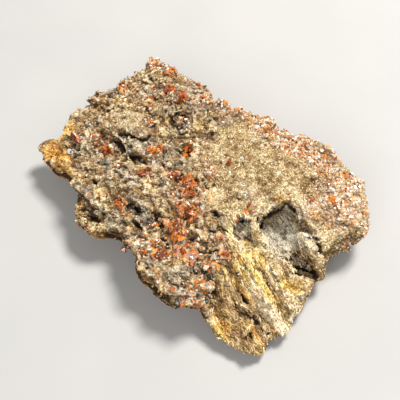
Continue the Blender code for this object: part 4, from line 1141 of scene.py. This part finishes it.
def make_slivers(skin, material):
    """Fine slivers of rock that lie down the slope and in the hollows."""
    rng = np.random.default_rng(SEED + 130)
    where = np.maximum(slope_share(skin.middle), in_hollow(skin.middle))
    places, normals, _ = sample_surface(skin, 2.2 * where * (skin.up > 0.1) * skin.clear, rng)
    count = len(places)
    down = np.array([math.cos(SLOPE_TURN), math.sin(SLOPE_TURN), 0.0]) + 0.22 * rng.normal(size=(count, 3))
    side = unit(along_surface(down, normals))
    axes = np.stack([side, np.cross(normals, side), normals], axis=1)
    long = rng.uniform(0.35, 1.1, count)
    sizes = np.stack([long, rng.uniform(0.09, 0.2, count), rng.uniform(0.1, 0.22, count)], axis=1)
    made, triangles, owner = copies(tablet(0.7), places + 0.05 * normals, axes, sizes, rng, 0.2)
    values = stains_and_painted_light(places, normals, 0.25 + 0.75 * rng.random(count), owner)
    place(mesh_from("rock_slivers", inside_box(made, 0.6), triangles, False, values), material)


def make_grains_on_crystals(materials):
    """Rock grains that half cover the flanks of the larger crystals."""
    names = [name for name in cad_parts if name.startswith("wulfenite_plate")]
    skin = Skin(*joined([arrays_of(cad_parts[name].data) for name in names]))
    patchy = ease(-0.35, 0.1, hills(skin.middle, 1.6, SEED + 33))
    sprinkle("grains_on_crystals", skin, ease(0.9, 0.5, skin.up) * (skin.up > -0.2) * patchy, (0.3, 0.9),
             double_pyramid(), "matrix", materials, 120)


def make_crystals(skin, materials):
    """Tiny crystals: the crusts, sugar on the rock, crumbs round the larger ones, dust and white glints."""
    middle, up, share = skin.middle, skin.up, share_made()
    tiny = {"slot": "wulfenite", "materials": materials, "lean": 0.8, "flat": 0.6, "sunk": 0.15}
    thin = {**tiny, "shape": BEVELLED_TABLET, "lean": 0.9, "flat": 0.5}
    for number, (name, (amount, pale)) in enumerate(CRUSTS.items()):
        on_crust = near_node(name, middle, 0.8) & (up > -0.2)
        sprinkle(f"crystals_{name}", skin, share * amount * on_crust, (0.3, 1.1), tablet(0.8),
                 seed=200 + number, replaced=[name], pale=pale, **tiny)
    on_floor = near_node("hollow_druse", middle, 0.8) & (up > 0.0)
    sprinkle("grains_hollow_druse", skin, share * 4.0 * on_floor, (0.3, 0.75), double_pyramid(),
             "grey_druse", materials, 210, ["hollow_druse"], lean=0.8, flat=1.0)
    sugar = spots(middle, CRYSTAL_SUGAR_MM, SEED + 90)
    sugar *= share * 1.2 * ease(-0.1, 0.3, up) * (1 - in_hollow(middle, 0.6))
    far = middle[:, 1] > FAR_RIM_MM
    for side, here, pale in (("far", far, 0.72), ("near", ~far, 0.86)):
        sprinkle(f"crystal_sugar_{side}", skin, sugar * here, (0.25, 0.9), tablet(0.8), seed=220, pale=pale,
                 **tiny)
    crumbs = np.zeros(len(middle))
    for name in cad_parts:
        if name.startswith(("wulfenite_cluster", "wulfenite_plate")):
            crumbs[near_node(name, middle, 1.1)] = 0.36
    sprinkle("crystal_crumbs", skin, share * crumbs, (0.4, 1.4), seed=230, pale=0.55, deep=1.6, **thin)
    dust = share * (0.03 + 0.13 * rough_share(middle)) * (up > 0.0)
    dust = dust * ease(-0.1, 0.5, hills(middle, 5.0, SEED + 35))
    dust *= (1 - in_hollow(middle, 1.0)) * (1 - 0.7 * slope_share(middle))
    sprinkle("crystal_dust", skin, dust, (0.22, 1.1), seed=235, pale=0.3, deep=2.4, **{**thin, "sunk": 0.2})
    glints = (0.014 + 0.16 * spots(middle, ZONES_MM["rose"], SEED + 78)) * (up > 0.1)
    sprinkle("white_glints", skin, glints, (0.3, 0.8), tablet(0.7), "quartz", materials, 240, flat=1.0,
             sunk=0.1)
    for name, chosen, size_mm, shape, slot, pale in (
        ("large_glints", GLINTS_MM, (0.6, 1.2), tablet(0.7), "quartz", 0.5),
        ("single_crystals", SINGLES_MM, (1.0, 2.4), BEVELLED_TABLET, "wulfenite", 0.0),
    ):
        found = [on_top(skin, x, y) for x, y in chosen]
        places = (np.array([p for p, n in found]), np.array([n for p, n in found]))
        sprinkle(name, skin, None, size_mm, shape, slot, materials, 250, lean=0.5, flat=0.7, sunk=0.1,
                 pale=pale, places=places)


# Larger crystals and clusters, by the end of their name, that aren't like the rest
DENSE = ("cluster_middle", "cluster_middle_near")
LITTLE = ("cluster_ledge", "cluster_right_end")
PALE = "cluster_right_end"
AMBER = (
    "slope", "slope_edge", "hollow_edge", "nose", "nose_tip", "plate_pale", "far_notch", "corner_edge",
    "left_end",
)
DARK_AND_FEW = (
    "left_crack", "plate_crack", "plate_left", "boss_crack", "trough", "middle_left", "plate_pit",
    "cluster_boss", "plate_far", "plate_corner", "ledge", "left_end", "cluster_right_end",
)

# Tablets on a solid, large and small: how many on each square millimetre, widths, flatness and lean
SMALL_TABLETS = (0.5, (0.4, 0.9), 0.5, 0.6)
TABLETS_MM = {
    "wulfenite_cluster": ((0.4, None, 0.3, 0.4), SMALL_TABLETS),
    "wulfenite_plate": ((0.45, (1.0, 3.0), 0.3, 0.35), SMALL_TABLETS),
    "quartz": ((0.8, (0.5, 1.3), 0.7, 0.8), (1.6, (0.25, 0.7), 0.8, 0.9)),
}


def stood_on(points, faces, amount, size_mm, flat, lean, rng):
    """Tablets that grow out of a solid's faces, about lined up with them. Gives the mesh, the tablet's own
    two numbers at each point, and a small change there."""
    places, normals, owner = sample_surface(Skin(points, faces), amount, rng)
    edges = points[np.roll(faces, -1, axis=1)] - points[faces]
    longest = np.argmax(np.linalg.norm(edges, axis=2), axis=1)
    along = edges[np.arange(len(faces)), longest][owner]
    count = len(places)
    up = unit(normals + lean * rng.normal(size=normals.shape))
    side = unit(along_surface(along, up) + 0.5 * lean * rng.normal(size=up.shape))
    side = unit(along_surface(side, up))
    on_edge = rng.random(count) < 0.5
    axes = np.stack([side, np.cross(up, side), up], axis=1)
    axes[on_edge] = np.roll(axes[on_edge], 1, axis=1)
    size = size_mm[0] + (size_mm[1] - size_mm[0]) * rng.random(count) ** 1.6
    sizes = 0.5 * size[:, None] * np.stack([
        rng.uniform(0.9, 1.5, count), rng.uniform(0.35, 0.8, count), flat * rng.uniform(0.7, 1.3, count),
    ], axis=1)
    depth = 0.5 * size * (rng.uniform(0.1, 0.5, count) + 0.35 * on_edge)
    middles = places - normals * depth[:, None]
    made, triangles, of_tablet = copies(BEVELLED_TABLET, middles, axes, sizes, rng, 0.1)
    numbers = np.stack([rng.random(count), rng.random(count)], axis=1)[of_tablet]
    return made, triangles, numbers, rng.uniform(-0.12, 0.2, len(made))


def grown_crystals(materials):
    """Each larger crystal or cluster as tablets that grow out of its solid, or out of the rise under it. The
    plates and the dense clusters keep a smaller solid inside."""
    for number, (name, node) in enumerate(sorted(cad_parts.items())):
        kind = next((kind for kind in TABLETS_MM if name.startswith(kind)), None)
        if kind is None:
            continue
        rng = np.random.default_rng(SEED + 300 + number)
        dense, sparse = name.endswith(DENSE), name.endswith(DARK_AND_FEW)
        amount, shade = (1.2, 0.8) if dense else (0.5, 0.36) if sparse else (0.62, 0.9)
        points, faces = rise_under(node) if name.startswith(RISES) and not dense else arrays_of(node.data)
        recipes = TABLETS_MM[kind]
        if kind == "wulfenite_cluster":
            widest = 3.0 if dense else 1.5 if name.endswith(LITTLE) else 2.4
            widths = (0.3 * widest, widest)
            recipes = [(each * amount, size or widths, *rest) for each, size, *rest in recipes]
        tablets = [stood_on(points, faces, *recipe, rng) for recipe in recipes]
        slot = "quartz" if kind == "quartz" else "wulfenite"
        lowest, spread = (0.0, 1.0) if slot == "quartz" else (0.02, 0.7 * shade)
        if name.endswith(PALE):
            lowest, spread = 0.5, 0.4
        parts, tints, ambers = [], [], []
        if kind == "wulfenite_plate" or dense:
            middle = points.mean(axis=0)
            parts.append((middle + (points - middle) * (0.8 if dense else 0.9), faces))
            tints.append(shade * 0.2 + rng.uniform(-0.12, 0.12, len(points)))
            ambers.append(np.zeros(len(points)))
        amber = 0.7 if name.endswith(AMBER) else 0.12 if dense or sparse else 0.3
        for (made, triangles, numbers, change), more in zip(tablets, (spread, 1.3 * spread)):
            parts.append((inside_box(made, 0.5), triangles))
            tints.append(lowest + more * numbers[:, 0] + change)
            ambers.append(numbers[:, 1] < amber)
        values = {"tint": np.clip(np.concatenate(tints), 0, 1), "amber": np.concatenate(ambers)}
        place(mesh_from(f"grown_{name}", *joined(parts), False, values), materials[slot], [name])


def on_top(skin, x, y):
    """The skin's place and direction over (x, y), from above."""
    away = np.hypot(skin.middle[:, 0] - x, skin.middle[:, 1] - y) - 0.02 * skin.middle[:, 2]
    index = int(np.argmin(away + 10.0 * (skin.up < 0)))
    return skin.middle[index], unit(skin.across[index:index + 1])[0]


# Materials

def add_node(tree, kind, inputs=None, **settings):
    """A node with its settings, and its inputs by name as numbers or as other nodes' outputs."""
    node = tree.nodes.new(kind)
    for key, value in settings.items():
        setattr(node, key, value)
    for key, value in (inputs or {}).items():
        if isinstance(value, bpy.types.NodeSocket):
            tree.links.new(value, node.inputs[key])
        else:
            node.inputs[key].default_value = value
    return node


def blank_material(name, **shader_inputs):
    """A material with one Principled shader. Gives back the material, its tree and the shader."""
    material = bpy.data.materials.new(name)
    material.use_nodes = True
    tree = material.node_tree
    tree.nodes.clear()
    shader = add_node(tree, "ShaderNodeBsdfPrincipled", shader_inputs)
    output = add_node(tree, "ShaderNodeOutputMaterial")
    tree.links.new(shader.outputs["BSDF"], output.inputs["Surface"])
    return material, tree, shader


def mixed(tree, share, first, second, blend="MIX"):
    """Two colours mixed by a share. Each is a socket or a colour."""
    node = tree.nodes.new("ShaderNodeMix")
    node.data_type = "RGBA"
    node.blend_type = blend
    for index, value in ((0, share), (6, first), (7, second)):
        if isinstance(value, bpy.types.NodeSocket):
            tree.links.new(value, node.inputs[index])
        else:
            node.inputs[index].default_value = value
    return node.outputs[2]


def ramp(tree, value, stops):
    """A colour by value. stops are (place, colour)."""
    node = tree.nodes.new("ShaderNodeValToRGB")
    elements = node.color_ramp.elements
    while len(elements) < len(stops):
        elements.new(0.5)
    for element, (where, colour) in zip(elements, stops):
        element.position = where
        element.color = colour
    tree.links.new(value, node.inputs["Fac"])
    return node.outputs["Color"]


def number_range(tree, value, low, high, to_low, to_high):
    """A value moved from one range to another."""
    inputs = {"Value": value, "From Min": low, "From Max": high, "To Min": to_low, "To Max": to_high}
    return add_node(tree, "ShaderNodeMapRange", inputs).outputs["Result"]


def noise(tree, size_mm, detail=3.0, rough=0.5):
    """Noise over the object, with hills about size_mm apart."""
    where = add_node(tree, "ShaderNodeTexCoord").outputs["Object"]
    return add_node(tree, "ShaderNodeTexNoise", {
        "Vector": where, "Scale": 1 / (size_mm * MM), "Detail": detail, "Roughness": rough,
    }).outputs["Fac"]


def noise_range(tree, size_mm, low, high, detail=3.0, rough=0.5):
    """Noise over the object, as numbers from about low to high."""
    return number_range(tree, noise(tree, size_mm, detail, rough), 0.3, 0.7, low, high)


def summed(tree, first, second):
    """Two numbers added, held between 0 and 1."""
    inputs = {0: first, 1: second}
    return add_node(tree, "ShaderNodeMath", inputs, operation="ADD", use_clamp=True).outputs[0]


def colours(stops):
    """A ramp's stops, from screen colours."""
    return [(where, linear(*rgb)) for where, rgb in stops]


def field(tree, name):
    """One of the piece's own numbers."""
    return add_node(tree, "ShaderNodeAttribute", attribute_name=name).outputs["Fac"]


def bumps(tree, shader, height, strength, distance_mm):
    """Fine relief on a shader."""
    inputs = {"Height": height, "Strength": strength, "Distance": distance_mm * MM}
    tree.links.new(add_node(tree, "ShaderNodeBump", inputs).outputs["Normal"], shader.inputs["Normal"])


ROCK_COLOURS = {
    "tan": [(0.0, (88, 64, 34)), (0.33, (154, 127, 83)), (0.62, (205, 180, 128)), (1.0, (250, 237, 198))],
    "ochre": [(0.0, (108, 64, 20)), (0.35, (190, 132, 54)), (0.65, (226, 174, 84)), (1.0, (252, 222, 142))],
    "yellow": [(0.0, (110, 76, 22)), (0.33, (198, 156, 62)), (0.62, (238, 204, 98)), (1.0, (255, 242, 166))],
    "brown": [(0.0, (66, 42, 20)), (0.4, (124, 90, 52)), (0.75, (168, 132, 84)), (1.0, (206, 176, 128))],
    "cream": [
        (0.0, (178, 152, 106)), (0.35, (222, 200, 158)), (0.7, (242, 228, 194)), (1.0, (255, 248, 228)),
    ],
    "grey": [(0.0, (60, 55, 48)), (0.4, (128, 120, 106)), (0.75, (176, 168, 150)), (1.0, (228, 220, 202))],
    "rose": [(0.0, (98, 72, 52)), (0.4, (170, 140, 108)), (0.7, (214, 188, 154)), (1.0, (252, 240, 216))],
}
# Colours of painted shade: black in cracks, pits and under the lips, brown between the grains
PAINTED_SHADE_COLOUR = linear(26, 17, 10)
GAP_SHADE_COLOUR = linear(92, 64, 36)


def rock_material(name, rough, gap_shade_share):
    """Sugary rock: tan, with stains, and with painted shade between the grains and in the cracks, where the
    piece's numbers say.
    """
    material, tree, shader = blank_material(name, **{"Specular IOR Level": 0.35})
    tone = summed(tree, field(tree, "tone"), noise_range(tree, 0.35, -0.24, 0.22, 2.0))
    colour = ramp(tree, tone, colours(ROCK_COLOURS["tan"]))
    for key in ("rose", "cream", "ochre", "yellow", "brown", "grey"):
        colour = mixed(tree, field(tree, key), colour, ramp(tree, tone, colours(ROCK_COLOURS[key])))
    # Painted shade between the grains
    inputs = {0: field(tree, "gap_shade"), 1: gap_shade_share}
    gap_shade = add_node(tree, "ShaderNodeMath", inputs, operation="MULTIPLY").outputs[0]
    colour = mixed(tree, gap_shade, colour, GAP_SHADE_COLOUR)
    # Black painted shade in the cracks, pits, joints and troughs, and painted shadows under the lips
    colour = mixed(tree, field(tree, "painted_shade"), colour, PAINTED_SHADE_COLOUR)
    tree.links.new(colour, shader.inputs["Base Color"])
    tree.links.new(number_range(tree, tone, 0.0, 1.0, rough[1], rough[0]), shader.inputs["Roughness"])
    bumps(tree, shader, noise(tree, 0.22, 3.0, 0.6), 0.5, 0.06)
    return material


# The ramps' cream to white end gives pale tablets; its white is partly painted highlight
CRYSTAL_STOPS = [
    (0.0, (72, 30, 12)), (0.13, (120, 54, 20)), (0.26, (176, 84, 26)), (0.38, (222, 122, 34)),
    (0.5, (200, 140, 88)), (0.62, (184, 156, 122)), (0.84, (218, 203, 178)), (1.0, (255, 250, 240)),
]
AMBER_STOPS = [
    (0.0, (124, 56, 10)), (0.2, (202, 104, 14)), (0.4, (238, 140, 26)), (0.55, (232, 172, 88)),
    (0.7, (206, 180, 138)), (0.85, (228, 212, 184)), (1.0, (255, 250, 240)),
]
CLEAR_STOPS = [(0.0, (160, 148, 126)), (0.4, (214, 208, 196)), (0.8, (252, 251, 248))]
FLOOR_STOPS = [(0.3, (178, 178, 176)), (0.7, (182, 181, 179))]


def crystal_material():
    """Wulfenite from deep red-brown through orange to salmon and pale, each tablet with its own tint."""
    material, tree, shader = blank_material("wulfenite_crystal", **{
        "IOR": 2.3, "Transmission Weight": 0.1, "Specular IOR Level": 0.22,
    })
    tint = summed(tree, field(tree, "tint"), noise_range(tree, 0.55, -0.24, 0.24, 4.0, 0.65))
    red, amber = (ramp(tree, tint, colours(stops)) for stops in (CRYSTAL_STOPS, AMBER_STOPS))
    tree.links.new(mixed(tree, field(tree, "amber"), red, amber), shader.inputs["Base Color"])
    tree.links.new(noise_range(tree, 0.5, 0.06, 0.34), shader.inputs["Roughness"])
    bumps(tree, shader, noise(tree, 0.3, 3.0, 0.6), 0.25, 0.06)
    return material


def clear_material():
    """Clear to frosted white crystals."""
    material, tree, shader = blank_material("clear_crystal", **{"IOR": 1.55, "Transmission Weight": 0.4})
    tree.links.new(noise_range(tree, 0.7, 0.05, 0.35), shader.inputs["Roughness"])
    share = summed(tree, field(tree, "tint"), noise_range(tree, 0.6, -0.25, 0.25))
    tree.links.new(ramp(tree, share, colours(CLEAR_STOPS)), shader.inputs["Base Color"])
    return material


def floor_material():
    """Pale matt paper."""
    material, tree, shader = blank_material("pale_floor", **{"Roughness": 0.9})
    tree.links.new(ramp(tree, noise(tree, 30.0), colours(FLOOR_STOPS)), shader.inputs["Base Color"])
    return material


# Floor, light and camera

def make_floor(material):
    """A plain floor under the rock."""
    half = FLOOR_HALF_MM
    points = np.array([(-half, -half, 0), (half, -half, 0), (half, half, 0), (-half, half, 0)], float)
    floor = new_object("floor", mesh_from("floor", points, np.array([(0, 1, 2), (0, 2, 3)])))
    floor.data.materials.append(material)


def aim(obj, place_mm, target_mm):
    """Puts a camera or light at a place, looking at a target."""
    obj.location = Vector(place_mm) * MM
    direction = Vector(target_mm) - Vector(place_mm)
    obj.rotation_euler = direction.to_track_quat("-Z", "Y").to_euler()


def make_lights():
    """A soft key from the photograph's upper right, a weak fill and a pale surround."""
    for name, (place_mm, size_mm, watts, colour) in LIGHTS.items():
        light = bpy.data.lights.new(name, "AREA")
        light.size = size_mm * MM
        light.energy = watts
        light.color = colour
        aim(new_object(name, light), place_mm, LIGHT_TARGET_MM)
    world = bpy.data.worlds.new("studio")
    world.use_nodes = True
    inputs = world.node_tree.nodes["Background"].inputs
    inputs["Color"].default_value = SURROUND_COLOUR
    inputs["Strength"].default_value = SURROUND_STRENGTH
    bpy.context.scene.world = world


def make_camera():
    """The photograph's camera."""
    camera = bpy.data.cameras.new("camera")
    camera.lens = CAMERA_LENS
    camera.sensor_width = CAMERA_SENSOR
    camera.sensor_fit = "HORIZONTAL"
    camera.clip_start = 0.01
    obj = new_object("camera", camera)
    flat = math.cos(CAMERA_ELEVATION)
    x, y = math.sin(CAMERA_AZIMUTH) * flat, -math.cos(CAMERA_AZIMUTH) * flat
    target = Vector(CAMERA_TARGET_MM)
    aim(obj, target + CAMERA_DISTANCE_MM * Vector((x, y, math.sin(CAMERA_ELEVATION))), target)
    bpy.context.scene.camera = obj


def main():
    """Makes the whole scene."""
    make_camera()
    make_lights()
    make_floor(floor_material())
    bpy.context.scene.view_settings.view_transform = "Standard"
    skin = make_rock(rock_material("sugary_rock", (0.6, 0.95), 0.8))
    grain = rock_material("sugary_grain", (0.5, 0.9), 0.0)
    materials = {
        "matrix": grain, "grey_druse": grain, "quartz": clear_material(), "wulfenite": crystal_material(),
    }
    make_grains(skin, materials)
    make_grains_on_crystals(materials)
    make_slivers(skin, grain)
    make_crystals(skin, materials)
    grown_crystals(materials)


main()
